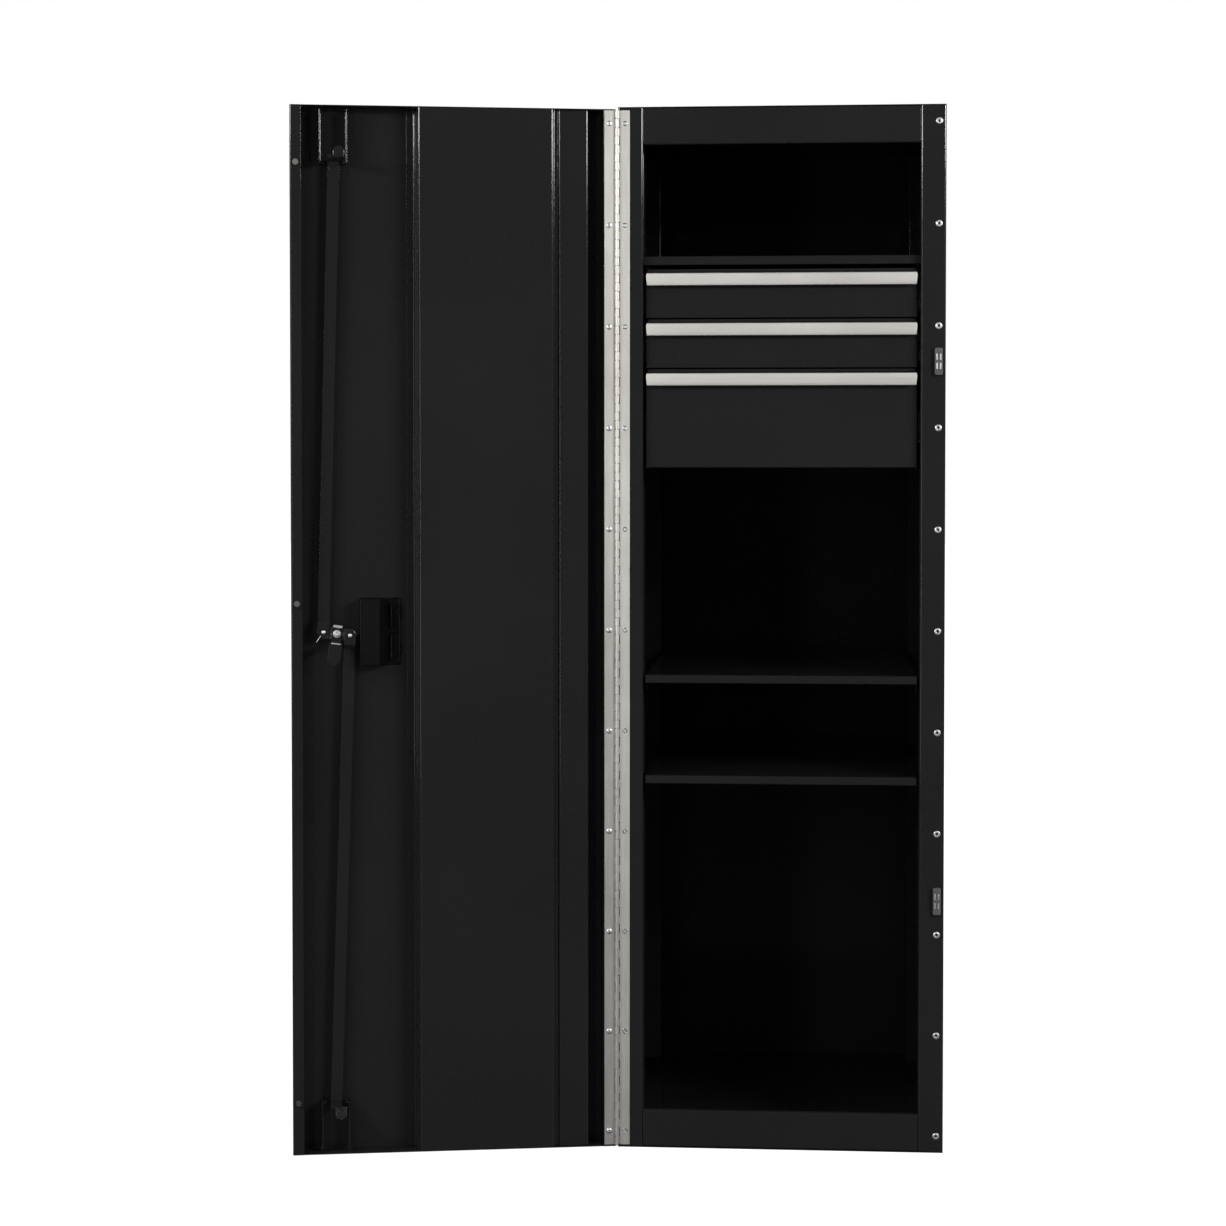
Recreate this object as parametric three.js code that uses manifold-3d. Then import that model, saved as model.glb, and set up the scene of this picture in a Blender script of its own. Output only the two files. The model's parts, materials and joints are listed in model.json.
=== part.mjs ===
// Side locker for a tool chest: a tall folded-steel cabinet with a full-overlay door on a
// continuous hinge, three drawers on telescopic slides, two hook-in shelves and a
// three-point latch worked by a keyed T-handle.
// Millimetres, +Z up, front towards -Y. The origin is the middle of the cabinet's underside.
// The door stands open, as it is usually shown, with its inside towards the front.
import * as THREE from "three";
import { mergeVertices } from "three/addons/utils/BufferGeometryUtils.js";
import Module from "manifold-3d";

const wasm = await Module();
wasm.setup();

// Cabinet body
const WIDTH = 483;
const DEPTH = 635;
const HEIGHT = 1549;
const SHEET = 1.2;
const SEAM = 0.3;
const BEND = 2.2;
const STILE = 37;
const FRAME_RETURN = 11;
const HEADER = 55.5;
const SILL = 56.5;
const RAIL_FLANGE = 25;
const REAR_FLANGE = 17;
const PAN_FLANGE = 18;

// Shelf posts and shelves
const POST_CLEAR = 1.5;
const POST_WIDTH = 42;
const FRONT_POST = 71;
const REAR_POST_INSET = 114;
const POST_END = 20;
const SLOT_PITCH = 75;
const SLOT_COUNT = 13;
const SLOTS_BELOW = 8;
const SLOT_HEIGHT = 16;
const UPPER_SHELF = 707.5;
const SHELF_STEPS = 2;
const SHELF_GAP = 5;
const SHELF_FRONT = 5;
const SHELF_REAR_GAP = 6;
const SHELF_LIP = 12.3;
const SHELF_SIDE = 26;
const HOOK_DROP = 24;
const HOOK_HEIGHT = 10;
const HOOK_THICK = 2.4;
const HOOK_REACH = 4;
const TOP_SPACE = 219.5;
const DIVIDER_LIP = 13;
const DIVIDER_SETBACK = 0.5;

// Drawers and their slides
const DRAWER_SIDE_GAP = 6;
const DRAWER_GAP = 8;
const STACK_GAP = 12.5;
const SHALLOW_FRONT = 66;
const DEEP_FRONT = 140;
const DRAWER_FACE = 11;
const DRAWER_REAR_GAP = 45;
const SHALLOW_SIDE = 50;
const DEEP_SIDE = 112;
const FRONT_RETURN = 13;
const PULL_HEIGHT = 18.5;
const PULL_PROUD = 1;
const SLIDE_HEIGHT = 45;
const SLIDE_START = 28;
const SLIDE_REAR_GAP = 47;
const SLIDE_PLAY = 0.4;
const SLIDE_SPACE = 12.8;
const SHALLOW_SLIDE = 30;
const DEEP_SLIDE = 60;

// Continuous hinge
const PIN_OUT = 1;
const PIN_RADIUS = 1.3;
const BARREL = 3;
const LEAF = 1.2;
const LEAF_WIDTH = 19.3;
const LEAF_START = 4;
const LEAF_TOP_GAP = 2;
const KNUCKLE_PITCH = 25;
const KNUCKLE_GAP = 0.4;
const SCREW_FIRST = 24.5;
const SCREW_PITCH = 150;
const SCREW_END = 15;
const SCREW_LINE = 11.5;

// Inserts and catches of the latch stile
const INSERT_RADIUS = 5.1;
const INSERT_BORE = 2.1;
const INSERT_PROUD = 0.8;
const INSERT_LENGTH = 8;
const CATCH_WIDTH = 11.7;
const CATCH_HEIGHT = 40;
const CATCH_PROUD = 5.8;
const CATCH_NECK = 9;
const CATCH_DEPTH = 12;
const UPPER_CATCH = 1172;
const LOWER_CATCH = 375.3;

// Door
const DOOR_OPEN = 169.2;
const DOOR_SIDE_GAP = 3;
const DOOR_START = 1;
const DOOR_BOTTOM = 1;
const DOOR_TOP_GAP = 3;
const DOOR_THICK = 35;
const HINGE_LIP = 19;
const FREE_LIP = 16.5;
const PANEL_GAP = 28.2;
const PANEL_NEAR = 94.5;
const PANEL_WALL = 5;
const PANEL_FLANGE = 12;
const HAT_FAR = 85.5;
const HAT_NEAR = 42.5;
const HAT_FACE = 6.7;
const HAT_FLANGE = 11;
const BUMPER_RADIUS = 4.7;
const BUMPER_HEIGHT = 5;
const BUMPER_INSET = 8.5;
const TOP_BUMPER = 84;
const MIDDLE_BUMPER = 816;
const LOW_BUMPER = 78.4;

// Latch
const LATCH_INSET = 32.7;
const LATCH_Z = 771;
const LATCH_TILT = 7.5;
const LATCH_THROW = 84;
const ARM = 19.6;
const ARM_HALF = 9;
const PLATE = 3;
const PIVOT_RADIUS = 3;
const PIVOT_PLAY = 0.3;
const CAM_LEVEL = 16.1;
const ROD_LEVEL = 10.6;
const HOOK_CLEARANCE = 1.7;
const ROD_WIDTH = 17;
const ROD_OFFSET = 2.7;
const TIP_WIDTH = 16.5;
const TIP_SHIFT = -7;
const UPPER_TIP_CLEARANCE = 9;
const LOWER_TIP_CLEARANCE = 1.5;
const GUIDE_WIDTH = 41.4;
const GUIDE_OFFSET = 3.4;
const GUIDE_DEPTH = 25;
const GUIDE_SHEET = 1.5;
const TOP_GUIDE = 84;
const LOWER_GUIDE_LIP = 76.5;
const GUIDE_SLOT = 28;
const GUIDE_PLAY = 3.5;
const RISER_OFFSET = 5.5;
const RISER_CLEARANCE = 1;
const TONGUE_WIDTH = 19;
const TONGUE_CATCH = 11.3;
const SADDLE_WIDTH = 15;
const SADDLE_HALF = 12.5;
const SPINDLE = 6;
const SPINDLE_NECK = 4.5;
const ESCUTCHEON = 23;
const ESCUTCHEON_THICK = 5;
const HANDLE_HUB = 13;
const HANDLE_LENGTH = 96;
const HANDLE_PROUD = 21;
const PLUG_RADIUS = 5.2;
const PLUG_DEPTH = 10;

// Recessed pull
const CUP_INSET = 34.3;
const CUP_DEEP_WIDTH = 28.7;
const CUP_SLOPE_WIDTH = 15.3;
const CUP_WIDTH = 58.8;
const CUP_Z = 773;
const CUP_HEIGHT = 98.4;
const CUP_WALL = 2;
const CUP_DEPTH = 28.3;
const CUP_SHALLOW = 3.8;
const CUP_BEZEL = 6;

const FRONT = -DEPTH / 2;
const REAR = DEPTH / 2;
const UPRIGHT_LOW = SHEET + SEAM;
const UPRIGHT_HIGH = HEIGHT - SHEET - SEAM;
const WALL = WIDTH / 2 - SHEET - SEAM;
const OPENING_HALF = WIDTH / 2 - STILE;
const POST_FACE = OPENING_HALF + POST_CLEAR;
const REAR_POST = DEPTH - REAR_POST_INSET;
const SHELF_HALF = POST_FACE - SHELF_GAP;
const SHELF_DROP = SHELF_STEPS * SLOT_PITCH;
const DIVIDER_TOP = HEIGHT - TOP_SPACE;
const DRAWER_HALF = POST_FACE - DRAWER_SIDE_GAP;
const DRAWER_LENGTH = DEPTH - DRAWER_FACE - DRAWER_REAR_GAP;
const SLIDE_LENGTH = DEPTH - SLIDE_START - SLIDE_REAR_GAP;
const PIN_X = -WIDTH / 2 - PIN_OUT;
const PIN_Y = FRONT - SEAM - BARREL;
const LIP_FACE = -BARREL - SEAM;
const SKIN_OUT = LIP_FACE - DOOR_THICK;
const SKIN_IN = SKIN_OUT + SHEET;
const DOOR_TOP = HEIGHT - DOOR_TOP_GAP;
const DOOR_EDGE = WIDTH + PIN_OUT - DOOR_SIDE_GAP;
const LEAF_LENGTH = DOOR_TOP - LEAF_START - LEAF_TOP_GAP;
const KNUCKLES = 2 * Math.round((LEAF_LENGTH / KNUCKLE_PITCH - 1) / 2) + 1;
const SCREW_RUN = LEAF_START + LEAF_LENGTH - SCREW_END - SCREW_FIRST;
const SCREW_COUNT = Math.floor(SCREW_RUN / SCREW_PITCH) + 1;
const BUMPER_LINE = DOOR_EDGE - BUMPER_INSET;
const BUMPERS = [DOOR_TOP - TOP_BUMPER, MIDDLE_BUMPER, LOW_BUMPER];
const LATCH_U = WIDTH + PIN_OUT - STILE - LATCH_INSET;
const TONGUE_REACH = LATCH_INSET + TONGUE_CATCH;
const ROD_LINE = LATCH_U + ROD_OFFSET;
const GUIDE_U = LATCH_U + GUIDE_OFFSET;
const UPPER_GUIDE_LIP = DOOR_TOP - TOP_GUIDE;
const UPPER_TIP = HEIGHT - HEADER - UPPER_TIP_CLEARANCE;
const LOWER_TIP = SILL + LOWER_TIP_CLEARANCE;
const CUP_FAR = LATCH_U - CUP_INSET;
const CUP_DEEP = CUP_FAR - CUP_DEEP_WIDTH;
const CUP_SLOPE = CUP_DEEP - CUP_SLOPE_WIDTH;
const CUP_NEAR = CUP_FAR - CUP_WIDTH;
const PANEL_FAR = CUP_NEAR - PANEL_GAP;

// Solids

function solid(geometry) {
  const loose = geometry.index ? geometry.toNonIndexed() : geometry.clone();
  loose.deleteAttribute("normal");
  loose.deleteAttribute("uv");
  const merged = mergeVertices(loose, 1e-4);
  return new wasm.Manifold(
    new wasm.Mesh({
      numProp: 3,
      vertProperties: merged.attributes.position.array,
      triVerts: new Uint32Array(merged.index.array),
    }),
  );
}

function joined(bodies) {
  return bodies.reduce((sum, body) => sum.add(body));
}

function cut(body, tools) {
  return tools.reduce((rest, tool) => rest.subtract(tool), body);
}

// A block between two opposite corners
function block(x0, x1, y0, y1, z0, z1) {
  const geometry = new THREE.BoxGeometry(x1 - x0, y1 - y0, z1 - z0);
  geometry.translate((x0 + x1) / 2, (y0 + y1) / 2, (z0 + z1) / 2);
  return solid(geometry);
}

// A flat outline drawn in the plane xy, yz or xz and carried along the third axis
function prism(outline, plane, from, to) {
  const shape = new THREE.Shape(outline.map(([a, b]) => new THREE.Vector2(a, b)));
  const geometry = new THREE.ExtrudeGeometry(shape, {
    depth: to - from,
    bevelEnabled: false,
  });
  const x = new THREE.Vector3(1, 0, 0);
  const y = new THREE.Vector3(0, 1, 0);
  const z = new THREE.Vector3(0, 0, 1);
  if (plane === "yz") {
    geometry.applyMatrix4(new THREE.Matrix4().makeBasis(y, z, x));
    geometry.translate(from, 0, 0);
  } else if (plane === "xz") {
    geometry.applyMatrix4(new THREE.Matrix4().makeBasis(x, z, y.negate()));
    geometry.translate(0, to, 0);
  } else {
    geometry.translate(0, 0, from);
  }
  return solid(geometry);
}

// A round bar along Y at (x, z), or along Z at (x, y)
function barAlongY(x, z, radius, y0, y1, sides = 16, endRadius = radius) {
  const geometry = new THREE.CylinderGeometry(endRadius, radius, y1 - y0, sides);
  geometry.translate(x, (y0 + y1) / 2, z);
  return solid(geometry);
}

function barAlongZ(x, y, radius, z0, z1, sides = 16) {
  const geometry = new THREE.CylinderGeometry(radius, radius, z1 - z0, sides);
  geometry.rotateX(Math.PI / 2);
  geometry.translate(x, y, (z0 + z1) / 2);
  return solid(geometry);
}

// The outline of a folded sheet: its middle line, its thickness and the radius of its bends
function folded(line, thickness = SHEET, radius = BEND, steps = 3) {
  const points = line.map(([a, b]) => new THREE.Vector2(a, b));
  const outer = [];
  const inner = [];
  const put = (point, normal) => {
    const step = normal.clone().multiplyScalar(thickness / 2);
    outer.push(point.clone().add(step).toArray());
    inner.push(point.clone().sub(step).toArray());
  };
  const heading = (i) => points[i + 1].clone().sub(points[i]).normalize();
  const leftOf = (v) => new THREE.Vector2(-v.y, v.x);
  put(points[0], leftOf(heading(0)));
  for (let i = 1; i < points.length - 1; i += 1) {
    const before = heading(i - 1);
    const after = heading(i);
    const turn = Math.atan2(before.cross(after), before.dot(after));
    const side = Math.sign(turn);
    const run = radius * Math.tan(Math.abs(turn) / 2);
    const start = points[i].clone().addScaledVector(before, -run);
    const centre = start.clone().addScaledVector(leftOf(before), side * radius);
    for (let k = 0; k <= steps; k += 1) {
      const normal = leftOf(before).rotateAround(new THREE.Vector2(), (turn * k) / steps);
      put(centre.clone().addScaledVector(normal, -side * radius), normal);
    }
  }
  put(points[points.length - 1], leftOf(heading(points.length - 2)));
  return outer.concat(inner.reverse());
}

// Finishes

const FINISH = {
  coat: { color: 0x1b1b1c, roughness: 0.42, metalness: 0.1 },
  stainless: { color: 0xcfccc6, roughness: 0.34, metalness: 0.9 },
  zinc: { color: 0xb9bbbd, roughness: 0.38, metalness: 0.9 },
  aluminium: { color: 0xcdcbc5, roughness: 0.4, metalness: 0.85 },
  plastic: { color: 0x161617, roughness: 0.55, metalness: 0 },
  greyPlastic: { color: 0x5f5f5d, roughness: 0.5, metalness: 0 },
  rubber: { color: 0x77746d, roughness: 0.8, metalness: 0 },
  chrome: { color: 0xd8d9db, roughness: 0.15, metalness: 1 },
};

function addPart(group, name, body, finish) {
  const raw = body.getMesh();
  const shared = new THREE.BufferGeometry();
  shared.setAttribute("position", new THREE.BufferAttribute(raw.vertProperties, 3));
  shared.setIndex(new THREE.BufferAttribute(raw.triVerts, 1));
  const geometry = shared.toNonIndexed();
  geometry.computeVertexNormals();
  const mesh = new THREE.Mesh(geometry, new THREE.MeshStandardMaterial(FINISH[finish]));
  mesh.name = name;
  group.add(mesh);
  return mesh;
}

// Cabinet body

const locker = new THREE.Group();

// One sheet makes the side wall, the stile in front, its return and the flange at the rear
function sideWall(side) {
  const inner = side * (WIDTH / 2 - STILE + SHEET / 2);
  const outer = side * (WIDTH / 2 - SHEET / 2);
  const face = FRONT + SHEET / 2;
  const rear = REAR - SHEET - SEAM - SHEET / 2;
  const line = [
    [inner, FRONT + FRAME_RETURN],
    [inner, face],
    [outer, face],
    [outer, rear],
    [side * (WIDTH / 2 - REAR_FLANGE), rear],
  ];
  return prism(folded(line), "xy", UPRIGHT_LOW, UPRIGHT_HIGH);
}

function insertHeights() {
  return Array.from({ length: SCREW_COUNT }, (_, i) => SCREW_FIRST + SCREW_PITCH * i);
}

// Threaded inserts pressed into the latch stile take the hinge when the door is hung there
function latchStileWall() {
  const x = WIDTH / 2 - SCREW_LINE + PIN_OUT;
  const bosses = insertHeights().map((z) =>
    barAlongY(x, z, INSERT_RADIUS, FRONT - INSERT_PROUD, FRONT + INSERT_LENGTH, 10),
  );
  const bores = insertHeights().map((z) =>
    barAlongY(x, z, INSERT_BORE, FRONT - 2, FRONT + INSERT_LENGTH + 2, 8),
  );
  const half = CATCH_NECK / 2 + SEAM;
  const slots = [UPPER_CATCH, LOWER_CATCH].map((z) =>
    block(x - half, x + half, FRONT - 2, FRONT + 4, z - catchNeckHalf, z + catchNeckHalf),
  );
  return cut(joined([sideWall(1), ...bosses]), [...bores, ...slots]);
}

const catchNeckHalf = CATCH_HEIGHT / 2 - 2;

addPart(locker, "hinge_side_wall", sideWall(-1), "coat");
addPart(locker, "latch_side_wall", latchStileWall(), "coat");
addPart(
  locker,
  "back_panel",
  block(1 - WIDTH / 2, WIDTH / 2 - 1, REAR - SHEET, REAR, UPRIGHT_LOW, UPRIGHT_HIGH),
  "coat",
);

// Top and floor are flat pans whose side flanges stand inside the side walls
function pan(face, inward) {
  const low = Math.min(face, face + inward * SHEET);
  const plate = block(-WIDTH / 2, WIDTH / 2, FRONT, REAR, low, low + SHEET);
  const reach = face + inward * PAN_FLANGE;
  const flanges = [-1, 1].map((side) =>
    block(
      side < 0 ? -WALL : WALL - SHEET,
      side < 0 ? SHEET - WALL : WALL,
      FRONT + RAIL_FLANGE,
      REAR - RAIL_FLANGE,
      Math.min(face, reach),
      Math.max(face, reach),
    ),
  );
  return joined([plate, ...flanges]);
}

addPart(locker, "top_panel", pan(HEIGHT, -1), "coat");
addPart(locker, "floor_panel", pan(0, 1), "coat");

// Header and sill are channels set between the two stiles
function crossRail(outerZ, openingZ, inward) {
  const reach = OPENING_HALF - SEAM;
  const face = FRONT + SHEET / 2;
  const outer = outerZ + (inward * SHEET) / 2;
  const inner = openingZ - (inward * SHEET) / 2;
  const line = [
    [FRONT + RAIL_FLANGE, outer],
    [face, outer],
    [face, inner],
    [FRONT + FRAME_RETURN, inner],
  ];
  return prism(folded(line), "yz", -reach, reach);
}

addPart(locker, "header_rail", crossRail(UPRIGHT_HIGH, HEIGHT - HEADER, -1), "coat");
addPart(locker, "sill_rail", crossRail(UPRIGHT_LOW, SILL, 1), "coat");

// Slotted posts on the side walls carry the slides and the shelves
const lowestHook = UPPER_SHELF - HOOK_DROP - SLOT_PITCH * SLOTS_BELOW;

function post(side, middle) {
  const low = FRONT + middle - POST_WIDTH / 2 + SHEET / 2;
  const high = FRONT + middle + POST_WIDTH / 2 - SHEET / 2;
  const face = side * (POST_FACE + SHEET / 2);
  const line = [
    [side * WALL, low],
    [face, low],
    [face, high],
    [side * WALL, high],
  ];
  const body = prism(folded(line, SHEET, BEND, 2), "xy", POST_END, HEIGHT - POST_END);
  const half = HOOK_THICK / 2 + SLIDE_PLAY;
  const near = side < 0 ? -POST_FACE - 4 : POST_FACE - 4;
  const slots = Array.from({ length: SLOT_COUNT }, (_, i) => {
    const z = lowestHook + SLOT_PITCH * i - SEAM;
    const y = FRONT + middle;
    return block(near, near + 8, y - half, y + half, z, z + SLOT_HEIGHT);
  });
  return cut(body, slots);
}

addPart(locker, "post_front_left", post(-1, FRONT_POST), "coat");
addPart(locker, "post_rear_left", post(-1, REAR_POST), "coat");
addPart(locker, "post_front_right", post(1, FRONT_POST), "coat");
addPart(locker, "post_rear_right", post(1, REAR_POST), "coat");

// A shelf sheet is folded down at the front, hemmed back, and folded down at the rear
function shelfSheet(top, front, rear, lip, half) {
  const face = front + SHEET / 2;
  const back = rear - SHEET / 2;
  const level = top - SHEET / 2;
  const line = [
    [front + 13, top - lip + SHEET / 2],
    [face, top - lip + SHEET / 2],
    [face, level],
    [back, level],
    [back, top - lip],
  ];
  return prism(folded(line, SHEET, 1.6, 2), "yz", -half, half);
}

function hookedShelf(top) {
  const front = FRONT + SHELF_FRONT;
  const rear = REAR - SHEET - SHELF_REAR_GAP;
  const sheet = shelfSheet(top, front, rear, SHELF_LIP, SHELF_HALF);
  const pieces = [sheet];
  for (const side of [-1, 1]) {
    const edge = side * SHELF_HALF;
    const inside = side * (SHELF_HALF - SHEET);
    const tip = side * (POST_FACE + SHEET + HOOK_REACH);
    pieces.push(
      block(
        Math.min(edge, inside),
        Math.max(edge, inside),
        front + 20,
        rear - 20,
        top - SHELF_SIDE,
        top - SHEET / 2,
      ),
    );
    for (const middle of [FRONT_POST, REAR_POST]) {
      const y = FRONT + middle;
      pieces.push(
        block(
          Math.min(inside, tip),
          Math.max(inside, tip),
          y - HOOK_THICK / 2,
          y + HOOK_THICK / 2,
          top - HOOK_DROP,
          top - HOOK_DROP + HOOK_HEIGHT,
        ),
      );
    }
  }
  return joined(pieces);
}

addPart(
  locker,
  "drawer_divider",
  shelfSheet(
    DIVIDER_TOP,
    FRONT + FRAME_RETURN + DIVIDER_SETBACK,
    REAR - SHEET - SEAM,
    DIVIDER_LIP,
    POST_FACE - SLIDE_PLAY,
  ),
  "coat",
);
addPart(locker, "upper_shelf", hookedShelf(UPPER_SHELF), "coat");
addPart(locker, "lower_shelf", hookedShelf(UPPER_SHELF - SHELF_DROP), "coat");

// Magnetic catches stand through the latch stile and meet the door's free lip
function catchBody(z) {
  const x = WIDTH / 2 - SCREW_LINE + PIN_OUT;
  const half = CATCH_WIDTH / 2;
  const tall = CATCH_HEIGHT / 2;
  const face = FRONT - CATCH_PROUD;
  const seat = FRONT - SEAM;
  const corner = 2;
  const outline = [
    [x - half + corner, z - tall],
    [x + half - corner, z - tall],
    [x + half, z - tall + corner],
    [x + half, z + tall - corner],
    [x + half - corner, z + tall],
    [x - half + corner, z + tall],
    [x - half, z + tall - corner],
    [x - half, z - tall + corner],
  ];
  const neck = CATCH_NECK / 2;
  const neckTall = catchNeckHalf - SEAM;
  return joined([
    prism(outline, "xz", face, seat),
    block(x - neck, x + neck, face + 1, FRONT + CATCH_DEPTH, z - neckTall, z + neckTall),
  ]);
}

addPart(locker, "catch_upper", catchBody(UPPER_CATCH), "greyPlastic");
addPart(locker, "catch_lower", catchBody(LOWER_CATCH), "greyPlastic");

// Continuous hinge: each leaf's alternate knuckles curl round one pin

function hingeLeaf(sign, firstKnuckle, headHeight, headRadius) {
  const clear = BARREL + 0.6;
  const inside = sign * (BARREL - LEAF);
  const outside = sign * BARREL;
  const low = Math.min(inside, outside);
  const plate = block(clear, LEAF_WIDTH, low, low + LEAF, LEAF_START, LEAF_START + LEAF_LENGTH);
  const bore = PIN_RADIUS + 0.45;
  const curl = [];
  const back = [];
  const sweep = 290;
  const steps = 6;
  for (let i = 0; i <= steps; i += 1) {
    const angle = THREE.MathUtils.degToRad(-90 - (sweep * i) / steps);
    const x = Math.cos(angle);
    const y = Math.sin(angle) * -sign;
    curl.push([BARREL * x, BARREL * y]);
    back.push([bore * x, bore * y]);
  }
  const outline = [[clear + 0.4, outside], ...curl, ...back.reverse(), [clear + 0.4, inside]];
  const pitch = LEAF_LENGTH / KNUCKLES;
  const pieces = [plate];
  for (let i = firstKnuckle; i < KNUCKLES; i += 2) {
    const z = LEAF_START + pitch * i;
    pieces.push(prism(outline, "xy", z + KNUCKLE_GAP / 2, z + pitch - KNUCKLE_GAP / 2));
  }
  const root = inside + sign * 0.3;
  const crown = inside - sign * headHeight;
  for (const z of insertHeights()) {
    const from = Math.min(root, crown);
    const to = Math.max(root, crown);
    const taper = sign > 0 ? [headRadius - 1, headRadius] : [headRadius, headRadius - 1];
    pieces.push(barAlongY(SCREW_LINE, z, taper[0], from, to, 8, taper[1]));
  }
  return joined(pieces);
}

const hinge = new THREE.Group();
hinge.position.set(PIN_X, PIN_Y, 0);
locker.add(hinge);
addPart(hinge, "hinge_leaf_frame", hingeLeaf(1, 0, 0.4, 4.2), "stainless");
addPart(
  hinge,
  "hinge_pin",
  barAlongZ(0, 0, PIN_RADIUS, LEAF_START - 1, LEAF_START + LEAF_LENGTH + 1, 8),
  "stainless",
);

// Drawers

// One member of a slide, given by distances from the post's face towards the drawer
function slideMember(side, middle, web, flangeEnd, height) {
  const across = (q) => side * (POST_FACE - q);
  const reach = height / 2 - SHEET / 2;
  const line = [
    [across(flangeEnd), middle + reach],
    [across(web), middle + reach],
    [across(web), middle - reach],
    [across(flangeEnd), middle - reach],
  ];
  const start = FRONT + SLIDE_START;
  return prism(folded(line, SHEET, 1.4, 1), "xz", start, start + SLIDE_LENGTH);
}

const midHeight = SLIDE_HEIGHT - 2 * SHEET - 2 * SLIDE_PLAY;
const innerHeight = midHeight - 2 * SHEET - 2 * SLIDE_PLAY;

// The tray is folded from one sheet; its wider front hides the slides
function tray(low, frontHeight, sideHeight) {
  const face = FRONT + DRAWER_FACE;
  const top = low + frontHeight;
  const half = POST_FACE - SLIDE_SPACE;
  const rear = face + DRAWER_LENGTH;
  const floor = low + 2;
  const wallTop = floor + sideHeight;
  const under = face + SHEET / 2;
  const pieces = [
    block(-DRAWER_HALF, DRAWER_HALF, face, face + SHEET, low, top - 2 - SEAM),
    block(-DRAWER_HALF, DRAWER_HALF, face, face + FRONT_RETURN, low, low + SHEET),
    block(-half, half, under, rear, floor, floor + SHEET),
    block(-half, half, rear - SHEET, rear, floor, wallTop),
  ];
  for (const side of [-1, 1]) {
    const edge = side * DRAWER_HALF;
    const edgeIn = side * (DRAWER_HALF - SHEET);
    const wall = side * half;
    const wallIn = side * (half - SHEET);
    const high = top - PULL_HEIGHT + 4;
    const x0 = Math.min(edge, edgeIn);
    pieces.push(block(x0, x0 + SHEET, face, face + FRONT_RETURN, low, high));
    const w0 = Math.min(wall, wallIn);
    pieces.push(block(w0, w0 + SHEET, under, rear, floor, wallTop));
  }
  return joined(pieces);
}

// The pull is a drawn channel that clips over the front's top edge
function pull(top) {
  const y = (value) => FRONT + value;
  const outline = [
    [y(-PULL_PROUD), top - PULL_HEIGHT + 0.9],
    [y(0.6 - PULL_PROUD), top - PULL_HEIGHT],
    [y(2 - PULL_PROUD), top - PULL_HEIGHT],
    [y(2 - PULL_PROUD), top - 3.2],
    [y(3.2 - PULL_PROUD), top - 2],
    [y(DRAWER_FACE - SEAM - 1.5), top - 2],
    [y(DRAWER_FACE - SEAM - 1.5), top - 6],
    [y(DRAWER_FACE - SEAM), top - 6],
    [y(DRAWER_FACE - SEAM), top - 2],
    [y(DRAWER_FACE + SHEET + SEAM), top - 2],
    [y(DRAWER_FACE + SHEET + SEAM), top - 9],
    [y(DRAWER_FACE + SHEET + SEAM + 1.5), top - 9],
    [y(DRAWER_FACE + SHEET + SEAM + 1.5), top - 0.8],
    [y(DRAWER_FACE + SHEET + SEAM + 0.7), top],
    [y(0.8 - PULL_PROUD), top],
    [y(-PULL_PROUD), top - 0.8],
  ];
  return prism(outline, "yz", -DRAWER_HALF, DRAWER_HALF);
}

function drawer(name, low, frontHeight, sideHeight, slideAbove) {
  addPart(locker, `${name}_tray`, tray(low, frontHeight, sideHeight), "coat");
  addPart(locker, `${name}_pull`, pull(low + frontHeight), "aluminium");
  const z = low + slideAbove;
  for (const [word, side] of [
    ["left", -1],
    ["right", 1],
  ]) {
    const fixed = slideMember(side, z, SEAM + SHEET / 2, 9, SLIDE_HEIGHT);
    const middle = slideMember(side, z, 2.2 + SHEET / 2, 10, midHeight);
    const inner = slideMember(side, z, SLIDE_SPACE - SEAM - SHEET / 2, 4.6, innerHeight);
    addPart(locker, `${name}_slide_${word}_fixed`, fixed, "zinc");
    addPart(locker, `${name}_slide_${word}_middle`, middle, "zinc");
    addPart(locker, `${name}_slide_${word}_inner`, inner, "zinc");
  }
}

const topDrawer = DIVIDER_TOP - DIVIDER_LIP - STACK_GAP - SHALLOW_FRONT;
const midDrawer = topDrawer - DRAWER_GAP - SHALLOW_FRONT;
const lowDrawer = midDrawer - DRAWER_GAP - DEEP_FRONT;
drawer("drawer_top", topDrawer, SHALLOW_FRONT, SHALLOW_SIDE, SHALLOW_SLIDE);
drawer("drawer_middle", midDrawer, SHALLOW_FRONT, SHALLOW_SIDE, SHALLOW_SLIDE);
drawer("drawer_bottom", lowDrawer, DEEP_FRONT, DEEP_SIDE, DEEP_SLIDE);

// Door: drawn closed, with the hinge pin at its origin, then swung open

const door = new THREE.Group();
door.position.set(PIN_X, PIN_Y, 0);
door.rotation.z = THREE.MathUtils.degToRad(-DOOR_OPEN);
locker.add(door);

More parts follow.
